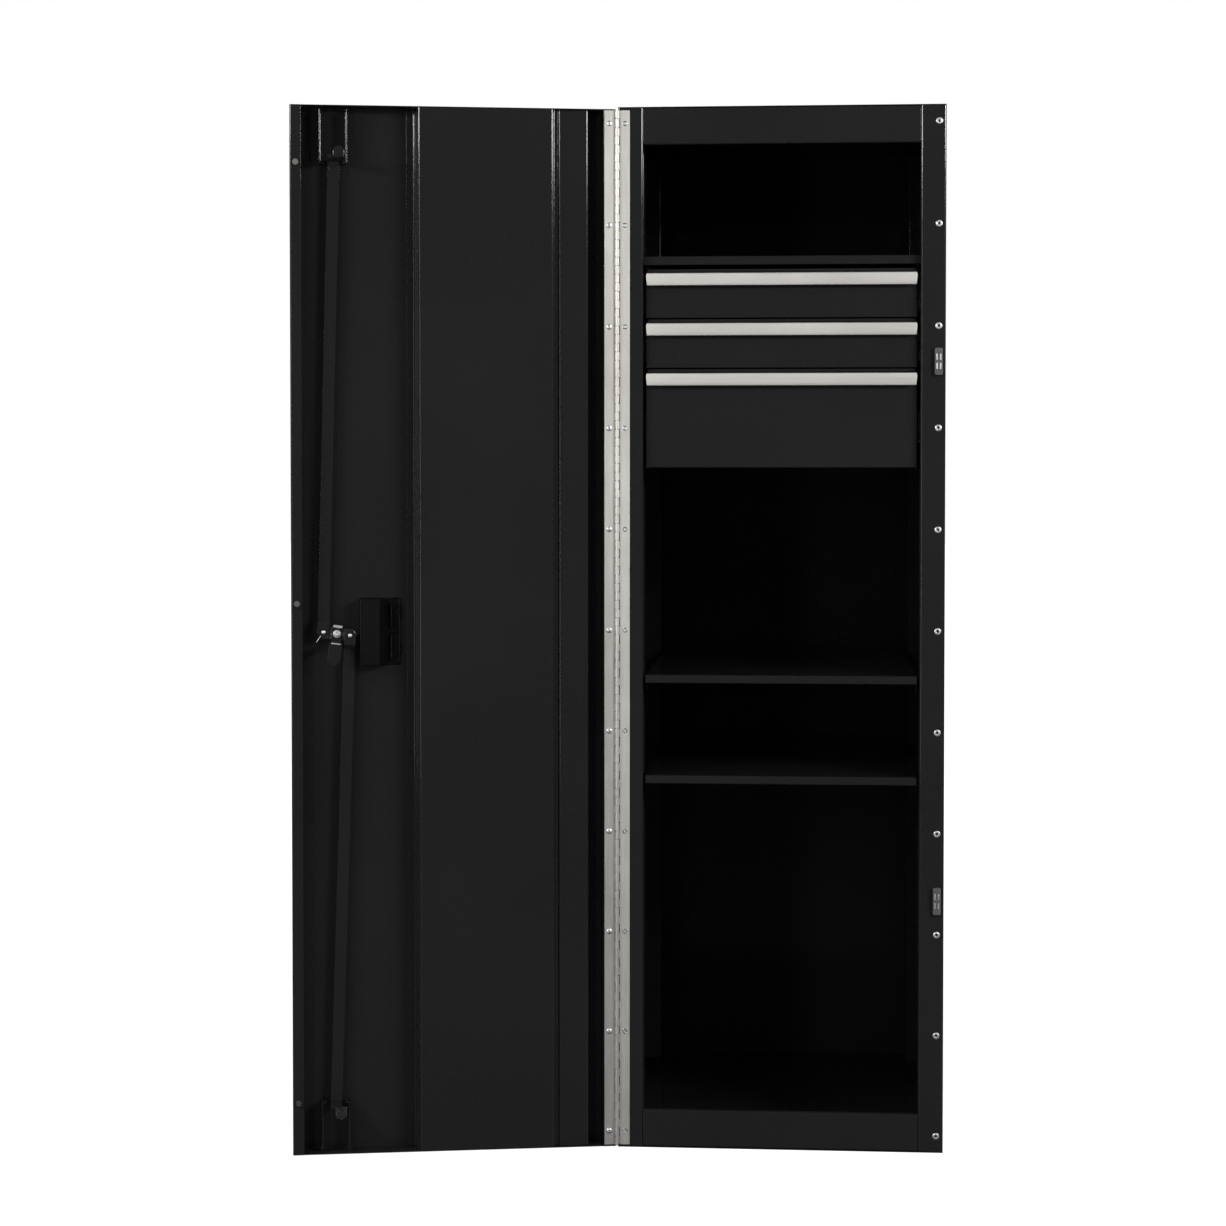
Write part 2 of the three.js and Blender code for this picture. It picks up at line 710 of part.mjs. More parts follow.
function doorSkin() {
  const lip = LIP_FACE - SHEET / 2;
  const face = SKIN_OUT + SHEET / 2;
  const near = DOOR_START + SHEET / 2;
  const far = DOOR_EDGE - SHEET / 2;
  const line = [
    [DOOR_START + HINGE_LIP, lip],
    [near, lip],
    [near, face],
    [far, face],
    [far, lip],
    [DOOR_EDGE - FREE_LIP, lip],
  ];
  const wrap = prism(folded(line, SHEET, 1.6, 2), "xy", DOOR_BOTTOM, DOOR_TOP);
  const corner = 1.4;
  const flange = [
    [near, face + corner],
    [near + corner, face],
    [far - corner, face],
    [far, face + corner],
    [far, lip - corner],
    [far - corner, lip],
    [near + corner, lip],
    [near, lip - corner],
  ];
  const ends = [DOOR_BOTTOM, DOOR_TOP - SHEET].map((z) => prism(flange, "xy", z, z + SHEET));
  const half = CUP_HEIGHT / 2 + 0.6;
  const cupHole = block(
    CUP_NEAR + 0.8 - 1.4,
    CUP_FAR + 0.6,
    SKIN_OUT - 2,
    SKIN_IN + 2,
    CUP_Z - half,
    CUP_Z + half,
  );
  const shaftHole = barAlongY(LATCH_U, LATCH_Z, SPINDLE + 3, SKIN_OUT - 2, SKIN_IN + 2);
  return cut(joined([wrap, ...ends]), [cupHole, shaftHole]);
}

addPart(door, "door_skin", doorSkin(), "coat");

const seat = SKIN_IN + SEAM + SHEET / 2;
const stiffLow = DOOR_BOTTOM + SHEET + SEAM;
const stiffHigh = DOOR_TOP - SHEET - SEAM;

function innerPanel() {
  const face = LIP_FACE - SHEET / 2;
  const line = [
    [PANEL_FAR + PANEL_WALL + PANEL_FLANGE, seat],
    [PANEL_FAR + PANEL_WALL, seat],
    [PANEL_FAR, face],
    [PANEL_NEAR, face],
    [PANEL_NEAR, SKIN_IN + 7],
  ];
  return prism(folded(line, SHEET, 2.6, 4), "xy", stiffLow, stiffHigh);
}

function hatChannel() {
  const face = LIP_FACE - HAT_FACE - SHEET / 2;
  const line = [
    [HAT_FAR + 6.5, seat],
    [HAT_FAR + 1.5, seat],
    [HAT_FAR, face],
    [HAT_NEAR, face],
    [HAT_NEAR, seat],
    [HAT_NEAR - HAT_FLANGE, seat],
  ];
  return prism(folded(line, SHEET, 2.2, 3), "xy", stiffLow, stiffHigh);
}

addPart(door, "door_inner_panel", innerPanel(), "coat");
addPart(door, "door_hinge_channel", hatChannel(), "coat");
addPart(door, "hinge_leaf_door", hingeLeaf(-1, 1, 1.7, 4.3), "stainless");

function bumper(z) {
  const geometry = new THREE.LatheGeometry(
    [
      new THREE.Vector2(0, 0),
      new THREE.Vector2(BUMPER_RADIUS, 0),
      new THREE.Vector2(BUMPER_RADIUS, BUMPER_HEIGHT - 1.6),
      new THREE.Vector2(BUMPER_RADIUS - 1.4, BUMPER_HEIGHT),
      new THREE.Vector2(0, BUMPER_HEIGHT),
    ],
    12,
  );
  geometry.translate(BUMPER_LINE, LIP_FACE + SEAM, z);
  return solid(geometry);
}

BUMPERS.forEach((z, i) => addPart(door, `door_bumper_${i + 1}`, bumper(z), "rubber"));

// Recessed pull: a moulded pocket, deep towards the free edge, open to the outside
function pullCup() {
  const bezelBack = SKIN_OUT - SEAM;
  const bezelFace = bezelBack - CUP_WALL;
  const deep = SKIN_OUT + CUP_DEPTH;
  const shallow = SKIN_OUT + CUP_SHALLOW;
  const low = CUP_Z - CUP_HEIGHT / 2;
  const high = CUP_Z + CUP_HEIGHT / 2;
  const shell = [
    [CUP_FAR, bezelFace + 0.5],
    [CUP_FAR, deep],
    [CUP_DEEP, deep],
    [CUP_SLOPE, shallow],
    [CUP_NEAR, shallow],
    [CUP_NEAR, bezelFace + 0.5],
  ];
  const hollow = [
    [CUP_FAR - CUP_WALL, bezelFace - 2],
    [CUP_FAR - CUP_WALL, deep - CUP_WALL],
    [CUP_DEEP + CUP_WALL / 2, deep - CUP_WALL],
    [CUP_SLOPE + CUP_WALL / 2, shallow - CUP_WALL],
    [CUP_NEAR + CUP_WALL, shallow - CUP_WALL],
    [CUP_NEAR + CUP_WALL, bezelFace - 2],
  ];
  const bezel = block(
    CUP_NEAR - CUP_BEZEL,
    CUP_FAR + CUP_BEZEL,
    bezelFace,
    bezelBack,
    low - CUP_BEZEL,
    high + CUP_BEZEL,
  );
  const snaps = [CUP_Z - 26, CUP_Z + 26].map((z) =>
    block(CUP_NEAR - 3, CUP_NEAR + 1, SKIN_IN + SEAM, shallow, z - 7, z + 7),
  );
  const body = joined([prism(shell, "xy", low, high), bezel, ...snaps]);
  return body.subtract(prism(hollow, "xy", low + CUP_WALL, high - CUP_WALL));
}

addPart(door, "pull_cup", pullCup(), "plastic");

// Guides hold the rods near the top and bottom of the door. The lip is notched from its edge,
// so that a rod's crank can pass it
function rodGuide(lip, end, away) {
  const low = Math.min(lip, end);
  const high = Math.max(lip, end);
  const near = GUIDE_U - GUIDE_WIDTH / 2;
  const far = GUIDE_U + GUIDE_WIDTH / 2;
  const back = SKIN_IN + SEAM;
  const front = back + GUIDE_DEPTH;
  const lipEnd = lip + away * GUIDE_SHEET;
  const lipLow = Math.min(lip, lipEnd);
  const slot = block(
    GUIDE_U - GUIDE_SLOT / 2,
    GUIDE_U + GUIDE_SLOT / 2,
    SKIN_IN + ROD_LEVEL - GUIDE_PLAY,
    front + 2,
    lipLow - 1,
    lipLow + GUIDE_SHEET + 1,
  );
  const body = joined([
    block(near, far, back, back + GUIDE_SHEET, low, high),
    block(near, near + GUIDE_SHEET, back, front, low, high),
    block(far - GUIDE_SHEET, far, back, front, low, high),
    block(near, far, back, front + 1, lipLow, lipLow + GUIDE_SHEET),
  ]);
  return body.subtract(slot);
}

addPart(door, "rod_guide_top", rodGuide(UPPER_GUIDE_LIP, DOOR_TOP - 5, 1), "coat");
addPart(door, "rod_guide_bottom", rodGuide(LOWER_GUIDE_LIP, DOOR_BOTTOM + 5, -1), "coat");

// Latch: everything that turns with the handle is drawn level and then tilted as it rests

const camBack = SKIN_IN + CAM_LEVEL;
const camFace = camBack + PLATE;
const rodEnd = camFace + PIVOT_PLAY;
const hookBack = BARREL + SEAM + FRAME_RETURN + HOOK_CLEARANCE;
const latch = new THREE.Group();
latch.position.set(LATCH_U, 0, LATCH_Z);
latch.rotation.y = THREE.MathUtils.degToRad(-LATCH_TILT);
door.add(latch);

function cam() {
  const bar = block(-ARM, ARM, camBack, camFace, -ARM_HALF, ARM_HALF);
  const pieces = [bar];
  for (const x of [-ARM, ARM]) {
    const headBack = rodEnd + PLATE + PIVOT_PLAY;
    pieces.push(barAlongY(x, 0, ARM_HALF, camBack, camFace, 14));
    pieces.push(barAlongY(x, 0, PIVOT_RADIUS, camBack + 1, headBack + 0.5, 12));
    pieces.push(barAlongY(x, 0, PIVOT_RADIUS + 1.3, headBack, headBack + 1.4, 12, 3.2));
  }
  return joined(pieces).subtract(
    barAlongY(0, 0, SPINDLE_NECK + SEAM, camBack - 1, camFace + 1, 14),
  );
}

// The tongue is bolted on the cam by its saddle and steps in far enough to catch the stile
function tongue() {
  const low = rodEnd;
  const saddle = block(
    -SADDLE_WIDTH / 2,
    SADDLE_WIDTH / 2,
    low,
    low + 2.4,
    -SADDLE_HALF,
    SADDLE_HALF,
  );
  const ear = block(
    -SADDLE_WIDTH / 2,
    SADDLE_WIDTH / 2,
    low,
    low + 8,
    SADDLE_HALF - 2.4,
    SADDLE_HALF,
  );
  const riser = block(
    -SADDLE_WIDTH / 2,
    SADDLE_WIDTH / 2,
    low,
    hookBack + PLATE,
    -SADDLE_HALF - 0.6,
    1.8 - SADDLE_HALF,
  );
  const half = TONGUE_WIDTH / 2;
  const blade = block(-half, half, hookBack, hookBack + PLATE, half - TONGUE_REACH, 1.8 - SADDLE_HALF);
  const end = barAlongY(0, half - TONGUE_REACH, half, hookBack, hookBack + PLATE, 20);
  const hole = barAlongY(0, 0, SPINDLE_NECK + SEAM, low - 1, low + 4, 14);
  return joined([saddle, ear, riser, blade, end]).subtract(hole);
}

const spindleTop = rodEnd + 1.8;
const hubFace = SKIN_OUT - SEAM - ESCUTCHEON_THICK - HANDLE_PROUD;
const hubBack = SKIN_OUT - SEAM - ESCUTCHEON_THICK - SEAM;

function handle() {
  const grip = block(
    -HANDLE_LENGTH / 2,
    HANDLE_LENGTH / 2,
    hubFace + 2,
    hubBack - 7,
    -6.5,
    6.5,
  );
  const body = joined([
    barAlongY(0, 0, HANDLE_HUB - 2, hubFace, hubBack, 20, HANDLE_HUB),
    grip,
    barAlongY(0, 0, SPINDLE, hubBack - 1, camBack - SEAM, 16),
    barAlongY(0, 0, SPINDLE_NECK, camBack - 2, spindleTop, 14),
  ]);
  return cut(body, [
    barAlongY(0, 0, 2.8, spindleTop - 10, spindleTop + 1, 12),
    barAlongY(0, 0, PLUG_RADIUS + SEAM, hubFace - 1, hubFace + PLUG_DEPTH, 16),
  ]);
}

function camScrew() {
  const face = rodEnd + 2.4 + SEAM;
  return joined([
    barAlongY(0, 0, 6.6, face, face + 1, 16),
    barAlongY(0, 0, 4.7, face + 0.5, face + 3.8, 12, 3.8),
    barAlongY(0, 0, 2.4, spindleTop - 8, face + 0.5, 10),
  ]);
}

function lockPlug() {
  const face = hubFace - 0.6;
  const body = barAlongY(0, 0, PLUG_RADIUS, face, hubFace + PLUG_DEPTH - SEAM, 16);
  return body.subtract(block(-3.6, 3.6, face - 1, face + 4, -0.7, 0.7));
}

addPart(latch, "latch_cam", cam(), "zinc");
addPart(latch, "latch_tongue", tongue(), "coat");
addPart(latch, "latch_handle", handle(), "chrome");
addPart(latch, "latch_screw", camScrew(), "zinc");
addPart(latch, "lock_plug", lockPlug(), "chrome");

// The escutcheon's sleeve lines the hole in the skin and bears the spindle
function escutcheon() {
  const back = SKIN_OUT - SEAM;
  const bore = SPINDLE + SEAM;
  const sleeve = SPINDLE + 2.5;
  const geometry = new THREE.LatheGeometry(
    [
      [bore, back - ESCUTCHEON_THICK],
      [ESCUTCHEON - 3, back - ESCUTCHEON_THICK],
      [ESCUTCHEON, back - 2],
      [ESCUTCHEON, back],
      [sleeve, back],
      [sleeve, SKIN_IN + 5],
      [bore, SKIN_IN + 5],
      [bore, back - ESCUTCHEON_THICK],
    ].map(([r, h]) => new THREE.Vector2(r, h)),
    20,
  );
  geometry.translate(LATCH_U, 0, LATCH_Z);
  return solid(geometry);
}

addPart(door, "latch_escutcheon", escutcheon(), "chrome");

// Each rod is a flat strip: cranked out to the cam at one end and in to the frame at the other.
// It is drawn upright from its pivot; way is 1 for the upper rod and -1 for the lower one.
function rod(way, tipLength, riserAt) {
  const half = ROD_WIDTH / 2;
  const end = rodEnd + PLATE / 2;
  const run = SKIN_IN + ROD_LEVEL + PLATE / 2;
  const line = [
    [end, 0],
    [end, way * 13],
    [run, way * 20],
    [run, way * (riserAt + PLATE)],
  ];
  const tipMiddle = TIP_SHIFT;
  const tipHalf = TIP_WIDTH / 2;
  const riserLow = Math.min(way * riserAt, way * (riserAt + PLATE));
  const tipTop = tipLength - tipHalf;
  const blade = [way * riserAt, way * tipTop];
  const pieces = [
    prism(folded(line, PLATE, 3, 2), "yz", -half, half),
    barAlongY(0, 0, half, rodEnd, rodEnd + PLATE, 18),
    block(
      -half,
      half,
      run - PLATE / 2,
      hookBack + PLATE,
      riserLow,
      riserLow + PLATE,
    ),
    block(
      tipMiddle - tipHalf,
      tipMiddle + tipHalf,
      hookBack,
      hookBack + PLATE,
      Math.min(...blade),
      Math.max(...blade),
    ),
    barAlongY(tipMiddle, way * tipTop, tipHalf, hookBack, hookBack + PLATE, 18),
  ];
  const hole = barAlongY(0, 0, PIVOT_RADIUS + PIVOT_PLAY, rodEnd - 1, rodEnd + PLATE + 1, 12);
  return joined(pieces).subtract(hole);
}

function placeRod(name, way, guideZ, tipZ, riserZ) {
  const tilt = THREE.MathUtils.degToRad(LATCH_TILT);
  const u = LATCH_U + way * ARM * Math.cos(tilt);
  const z = LATCH_Z + way * ARM * Math.sin(tilt);
  const lean = Math.atan2(way * (u - ROD_LINE), Math.abs(guideZ - z));
  const stretch = 1 / Math.cos(lean);
  const body = rod(way, Math.abs(tipZ - z) * stretch, Math.abs(riserZ - z) * stretch);
  const mesh = addPart(door, name, body, "coat");
  mesh.position.set(u, 0, z);
  mesh.rotation.y = -lean;
}

// The lower crank sits high enough to stay above the sill when the rod is thrown
const thrown = THREE.MathUtils.degToRad(LATCH_TILT + LATCH_THROW);
const rodTravel = ARM * (Math.sin(thrown) - Math.sin(THREE.MathUtils.degToRad(LATCH_TILT)));
const lowerRiser = SILL + rodTravel + RISER_CLEARANCE + PLATE;
placeRod("latch_rod_upper", 1, UPPER_GUIDE_LIP, UPPER_TIP, UPPER_GUIDE_LIP + RISER_OFFSET);
placeRod("latch_rod_lower", -1, LOWER_GUIDE_LIP, LOWER_TIP, lowerRiser);

export default locker;
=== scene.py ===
"""Looks of a tool chest's side locker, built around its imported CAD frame.

Sizes are in millimetres, in the frame of the CAD model: +X right, +Y into the depth, +Z up.
What hangs on the door is drawn in the door's own frame, with u across the door from the hinge
pin, v from the closed door's outside to its inside and z up. It is then swung to where the
door stands.
"""

import json
import logging
import math
from dataclasses import dataclass, replace
from enum import Enum
from functools import partial
from typing import Iterable, Sequence

import bmesh
import bpy
from bmesh.types import BMesh
from mathutils import Matrix, Vector


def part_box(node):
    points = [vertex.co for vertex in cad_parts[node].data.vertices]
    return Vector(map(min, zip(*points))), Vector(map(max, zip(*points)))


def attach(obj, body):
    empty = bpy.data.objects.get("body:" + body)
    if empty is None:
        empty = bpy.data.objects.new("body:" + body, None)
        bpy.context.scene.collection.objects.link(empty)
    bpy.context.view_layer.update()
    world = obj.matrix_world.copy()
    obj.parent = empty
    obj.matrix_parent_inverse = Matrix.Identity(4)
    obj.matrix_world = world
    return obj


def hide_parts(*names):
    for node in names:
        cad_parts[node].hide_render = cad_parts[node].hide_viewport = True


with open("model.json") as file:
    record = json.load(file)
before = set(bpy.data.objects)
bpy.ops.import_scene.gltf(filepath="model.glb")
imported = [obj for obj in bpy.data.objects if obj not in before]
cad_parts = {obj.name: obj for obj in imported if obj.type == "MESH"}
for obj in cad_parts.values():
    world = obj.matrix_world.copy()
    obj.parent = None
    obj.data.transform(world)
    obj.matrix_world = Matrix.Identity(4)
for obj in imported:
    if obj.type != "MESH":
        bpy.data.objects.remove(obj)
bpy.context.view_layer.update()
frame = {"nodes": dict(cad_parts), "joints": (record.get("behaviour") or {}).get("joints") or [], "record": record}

LOG = logging.getLogger("side_locker")
MM = 0.001
SMOOTH_LIMIT = math.radians(35)
BEND_STEPS = 6
ROUND_STEPS = 28
CURL_STEPS = 10
EDGE_STEPS = 2
# How near points are welded, and how near a line a point counts as on it
MERGE = 0.001
CLOSE = 0.01
# The share of an axis in a normal that faces along it
FACING = 0.9

# Sheet metal
SHEET = 1.2
SEAM = 0.3

# Heights of the lips that guide the latch's rods
UPPER_LIP = 1462
LOWER_LIP = 76.5

Point = tuple[float, float]
Spot = tuple[float, float, float]


class Slot(Enum):
    """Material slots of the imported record."""

    COAT = "black_coat"
    STAINLESS = "stainless"
    ZINC = "zinc"
    ALUMINIUM = "aluminium"
    BLACK_PLASTIC = "black_plastic"
    GREY_PLASTIC = "grey_plastic"
    RUBBER = "rubber"
    CHROME = "chrome"


class Plane(Enum):
    """The plane of an outline. What is drawn in it runs along the third axis."""

    XY = Matrix(((1, 0, 0, 0), (0, 1, 0, 0), (0, 0, 1, 0), (0, 0, 0, 1)))
    YZ = Matrix(((0, 0, 1, 0), (1, 0, 0, 0), (0, 1, 0, 0), (0, 0, 0, 1)))
    XZ = Matrix(((1, 0, 0, 0), (0, 0, 1, 0), (0, 1, 0, 0), (0, 0, 0, 1)))


# Finishes


def linear(colour: str) -> tuple[float, float, float, float]:
    """Turns an sRGB hex colour to linear light.

    Args:
        colour: Six hex digits after a hash.

    Returns:
        Red, green, blue and an alpha of 1.
    """
    parts = [int(colour[i : i + 2], 16) / 255 for i in (1, 3, 5)]
    bright = [((c + 0.055) / 1.055) ** 2.4 if c > 0.04045 else c / 12.92 for c in parts]
    return (*bright, 1.0)


def add_node(tree: bpy.types.NodeTree, kind: str, settings: dict, links: dict) -> bpy.types.Node:
    """Adds a node with its settings and links.

    Args:
        tree: The node tree.
        kind: Blender's name for the kind of node.
        settings: Values for the node's inputs, by name or number, or its own properties.
        links: The output that feeds each input.

    Returns:
        The new node.
    """
    node = tree.nodes.new(kind)
    for name, value in settings.items():
        if isinstance(name, int) or name in node.inputs:
            node.inputs[name].default_value = value
        else:
            setattr(node, name, value)
    for name, output in links.items():
        tree.links.new(output, node.inputs[name])
    return node


def ramp(
    tree: bpy.types.NodeTree, value: bpy.types.NodeSocket, before: Point, after: Point
) -> bpy.types.NodeSocket:
    """Maps a value from one span to another.

    Args:
        tree: The node tree.
        value: The output that carries the value.
        before: The span it comes from.
        after: The span it goes to.

    Returns:
        The mapped output.
    """
    names = ("From Min", "From Max", "To Min", "To Max")
    settings = dict(zip(names, (*before, *after)))
    return add_node(tree, "ShaderNodeMapRange", settings, {"Value": value}).outputs[0]


def emptied(owner: bpy.types.Material | bpy.types.World) -> bpy.types.NodeTree:
    """Clears a material or a world for nodes of its own.

    Args:
        owner: The material or the world.

    Returns:
        Its empty node tree.
    """
    owner.use_nodes = True
    owner.node_tree.nodes.clear()
    return owner.node_tree


# How every finish is mixed: its two noises, the part of them that counts, where the tones lie
# and how far the grain shifts the tone
GRAIN = {"Scale": 1.0, "Detail": 3.0, "Roughness": 0.55}
CLOUD_DETAIL = 4.0
NOISE_SPAN = (0.3, 0.7)
TONE_STOPS = (0.3, 0.75)
GRAIN_SHIFT = (-0.12, 0.12)


@dataclass(frozen=True)
class Finish:
    """A surface: two tones in slow clouds, over a grain that shows in gloss and relief.

    grain is the size of one grain along X, Y and Z, cloud that of a patch of tone and relief
    the height of the grain.
    """

    name: str
    slot: Slot
    dark: str
    light: str
    metallic: float
    smoothest: float
    roughest: float
    grain: Spot
    cloud: float
    relief: float
    specular: float = 0.5

    def material(self) -> bpy.types.Material:
        """Makes the finish's material.

        Returns:
            A material that reads only the piece's own coordinates.
        """
        made = bpy.data.materials.new(self.name)
        tree = emptied(made)
        place = add_node(tree, "ShaderNodeTexCoord", {}, {}).outputs["Object"]
        across = {"Scale": tuple(1 / (size * MM) for size in self.grain)}
        scaled = add_node(tree, "ShaderNodeMapping", across, {"Vector": place}).outputs[0]
        grain = add_node(tree, "ShaderNodeTexNoise", GRAIN, {"Vector": scaled}).outputs["Fac"]
        patches = {"Scale": 1 / (self.cloud * MM), "Detail": CLOUD_DETAIL}
        cloud = add_node(tree, "ShaderNodeTexNoise", patches, {"Vector": place}).outputs["Fac"]
        both = {0: cloud, 1: ramp(tree, grain, NOISE_SPAN, GRAIN_SHIFT)}
        blend = add_node(tree, "ShaderNodeMath", {"operation": "ADD", "use_clamp": True}, both)
        tone = add_node(tree, "ShaderNodeValToRGB", {}, {"Fac": blend.outputs[0]})
        colours = (self.dark, self.light)
        for stop, position, colour in zip(tone.color_ramp.elements, TONE_STOPS, colours):
            stop.position = position
            stop.color = linear(colour)
        relief = {"Strength": 1.0, "Distance": self.relief * MM}
        bump = add_node(tree, "ShaderNodeBump", relief, {"Height": grain})
        shader = add_node(
            tree,
            "ShaderNodeBsdfPrincipled",
            {"Metallic": self.metallic, "Specular IOR Level": self.specular},
            {
                "Base Color": tone.outputs[0],
                "Roughness": ramp(tree, grain, NOISE_SPAN, (self.smoothest, self.roughest)),
                "Normal": bump.outputs[0],
            },
        )
        add_node(tree, "ShaderNodeOutputMaterial", {}, {"Surface": shader.outputs[0]})
        return made


# Powder coat, sprayed and baked: a black skin that flows out to a faint orange peel and shines
# softly at the bends
COAT = Finish(
    name="black_powder_coat",
    slot=Slot.COAT,
    dark="#1a1a1b",
    light="#1d1d1e",
    metallic=0.0,
    smoothest=0.115,
    roughest=0.125,
    grain=(4, 4, 4),
    cloud=300,
    relief=0.0008,
    specular=0.4,
)
# Stainless strip, brushed along its length: long fine streaks that stretch the reflections
STAINLESS = Finish(
    name="brushed_stainless_steel",
    slot=Slot.STAINLESS,
    dark="#dedbd5",
    light="#f0eee9",
    metallic=1.0,
    smoothest=0.48,
    roughest=0.6,
    grain=(0.9, 0.9, 60),
    cloud=90,
    relief=0.006,
)
# Zinc, plated bright on pressed steel: a cool mirror that is dulled in small patches
ZINC = Finish(
    name="bright_zinc_plate",
    slot=Slot.ZINC,
    dark="#a3a6ad",
    light="#c8cbd0",
    metallic=1.0,
    smoothest=0.16,
    roughest=0.3,
    grain=(2.5, 2.5, 2.5),
    cloud=12,
    relief=0.008,
)
# Zinc, plated and passivated on turned parts: pale grey with a soft, even shine
DULL_ZINC = Finish(
    name="dull_zinc_plate",
    slot=Slot.ZINC,
    dark="#e4e4e3",
    light="#f6f6f5",
    metallic=1.0,
    smoothest=0.42,
    roughest=0.54,
    grain=(1.5, 1.5, 1.5),
    cloud=6,
    relief=0.008,
)
# Aluminium, drawn through a die and anodised satin: warm pale metal with fine lines lengthwise
ALUMINIUM = Finish(
    name="satin_anodised_aluminium",
    slot=Slot.ALUMINIUM,
    dark="#e2e0da",
    light="#edebe6",
    metallic=1.0,
    smoothest=0.5,
    roughest=0.6,
    grain=(70, 0.8, 0.8),
    cloud=120,
    relief=0.006,
)
# ABS, moulded in a polished tool: deep black with a soft gloss
BLACK_PLASTIC = Finish(
    name="moulded_black_abs",
    slot=Slot.BLACK_PLASTIC,
    dark="#070707",
    light="#0b0b0c",
    metallic=0.0,
    smoothest=0.18,
    roughest=0.28,
    grain=(1.6, 1.6, 1.6),
    cloud=40,
    relief=0.006,
)
# ABS, moulded against a spark-eroded face: black with an even, dull grain
GRAINED_PLASTIC = Finish(
    name="grained_black_abs",
    slot=Slot.BLACK_PLASTIC,
    dark="#08080a",
    light="#0c0c0d",
    metallic=0.0,
    smoothest=0.5,
    roughest=0.62,
    grain=(1.6, 1.6, 1.6),
    cloud=40,
    relief=0.02,
    specular=0.1,
)
# Acetal, moulded grey: dense and slightly waxy
GREY_PLASTIC = Finish(
    name="moulded_grey_acetal",
    slot=Slot.GREY_PLASTIC,
    dark="#40403f",
    light="#4c4c4a",
    metallic=0.0,
    smoothest=0.38,
    roughest=0.48,
    grain=(1.6, 1.6, 1.6),
    cloud=15,
    relief=0.015,
)
# Rubber, moulded grey: dry, with a bloom that hides any shine
RUBBER = Finish(
    name="moulded_grey_rubber",
    slot=Slot.RUBBER,
    dark="#575550",
    light="#66635d",
    metallic=0.0,
    smoothest=0.74,
    roughest=0.88,
    grain=(1.2, 1.2, 1.2),
    cloud=8,
    relief=0.03,
    specular=0.3,
)
# The same rubber darkened as painted shade, for the bumper halfway down the door
HALF_SHADED_RUBBER = replace(RUBBER, name="half_shaded_grey_rubber", dark="#494846", light="#535250")
# The same rubber darkened further as painted shade, for the bumper at the foot of the door
DEEP_SHADED_RUBBER = replace(RUBBER, name="deep_shaded_grey_rubber", dark="#2b2b2a", light="#343433")
# Chrome on die-cast zinc: a bright mirror with a trace of the polishing wheel
CHROME = Finish(
    name="chrome_plated_die_casting",
    slot=Slot.CHROME,
    dark="#c9cbcf",
    light="#dfe0e2",
    metallic=1.0,
    smoothest=0.06,
    roughest=0.16,
    grain=(14, 2, 2),
    cloud=30,
    relief=0.004,
)
FINISHES = (
    COAT,
    STAINLESS,
    ZINC,
    DULL_ZINC,
    ALUMINIUM,
    BLACK_PLASTIC,
    GRAINED_PLASTIC,
    GREY_PLASTIC,
    RUBBER,
    HALF_SHADED_RUBBER,
    DEEP_SHADED_RUBBER,
    CHROME,
)


# Shapes


def verts_of(geometry: Iterable) -> list:
    """The vertices in an operator's result."""
    return [g for g in geometry if isinstance(g, bmesh.types.BMVert)]


def edges_of(geometry: Iterable) -> list:
    """The edges in an operator's result."""
    return [g for g in geometry if isinstance(g, bmesh.types.BMEdge)]


def draw_out(shape: BMesh, edges: list, step: Vector) -> list:
    """Draws a flat run of sheet out of the edges of the last one.

    Args:
        shape: The sheet so far.
        edges: Its leading edges.
        step: How far the run goes, in the plane of the outline.

    Returns:
        The new leading edges.
    """
    drawn = bmesh.ops.extrude_edge_only(shape, edges=edges)["geom"]
    bmesh.ops.translate(shape, verts=verts_of(drawn), vec=(*step, 0))
    return edges_of(drawn)


def folded(
    line: Sequence[Point],
    spans: Sequence[Point],
    radius: float,
    plane: Plane = Plane.XY,
) -> BMesh:
    """Folds a sheet along its middle line, as a press brake does.

    Args:
        line: The corners of the middle line.
        spans: Where the sheet begins and ends along the third axis, once for each strip.
        radius: The radius of the bends at the middle of the sheet.
        plane: The plane of the line.

    Returns:
        The sheet's middle surface.
    """
    shape = bmesh.new()
    points = [Vector(point) for point in line]
    here = points[0]
    edges = []
    for low, high in spans:
        ends = [shape.verts.new((*here, reach)) for reach in (low, high)]
        edges.append(shape.edges.new(ends))
    for corner, after in zip(points[1:-1], points[2:]):
        ahead = (corner - here).normalized()
        onward = (after - corner).normalized()
        turn = math.atan2(ahead.cross(onward), ahead.dot(onward))
        run = radius * math.tan(abs(turn) / 2)
        start = corner - ahead * run
        edges = draw_out(shape, edges, start - here)
        centre = start + Vector((-ahead.y, ahead.x)) * math.copysign(radius, turn)
        spun = bmesh.ops.spin(
            shape,
            geom=edges,
            cent=(*centre, 0),
            axis=(0, 0, 1),
            angle=turn,
            steps=BEND_STEPS,
            use_merge=False,
        )
        edges = edges_of(spun["geom_last"])
        here = corner + onward * run
    draw_out(shape, edges, points[-1] - here)
    bmesh.ops.transform(shape, matrix=plane.value, verts=shape.verts)
    return shape


def flat(
    outline: Sequence[Point], level: float, plane: Plane, corners: Sequence[float] = ()
) -> BMesh:
    """Lays out one flat face with rounded corners.

    Args:
        outline: The corner points.
        level: Where it lies along the third axis.
        plane: The plane of the outline.
        corners: The radius at each point, or none for sharp corners.

    Returns:
        The face.
    """
    shape = bmesh.new()
    points = [shape.verts.new((*point, level)) for point in outline]
    shape.faces.new(points)
    for radius in sorted(set(corners) - {0}):
        bmesh.ops.bevel(
            shape,
            geom=[p for p, r in zip(points, corners) if r == radius],
            offset=radius,
            offset_type="OFFSET",
            segments=BEND_STEPS,
            profile=0.5,
            affect="VERTICES",
            material=-1,
        )
    bmesh.ops.remove_doubles(shape, verts=shape.verts, dist=MERGE)
    bmesh.ops.transform(shape, matrix=plane.value, verts=shape.verts)
    return shape


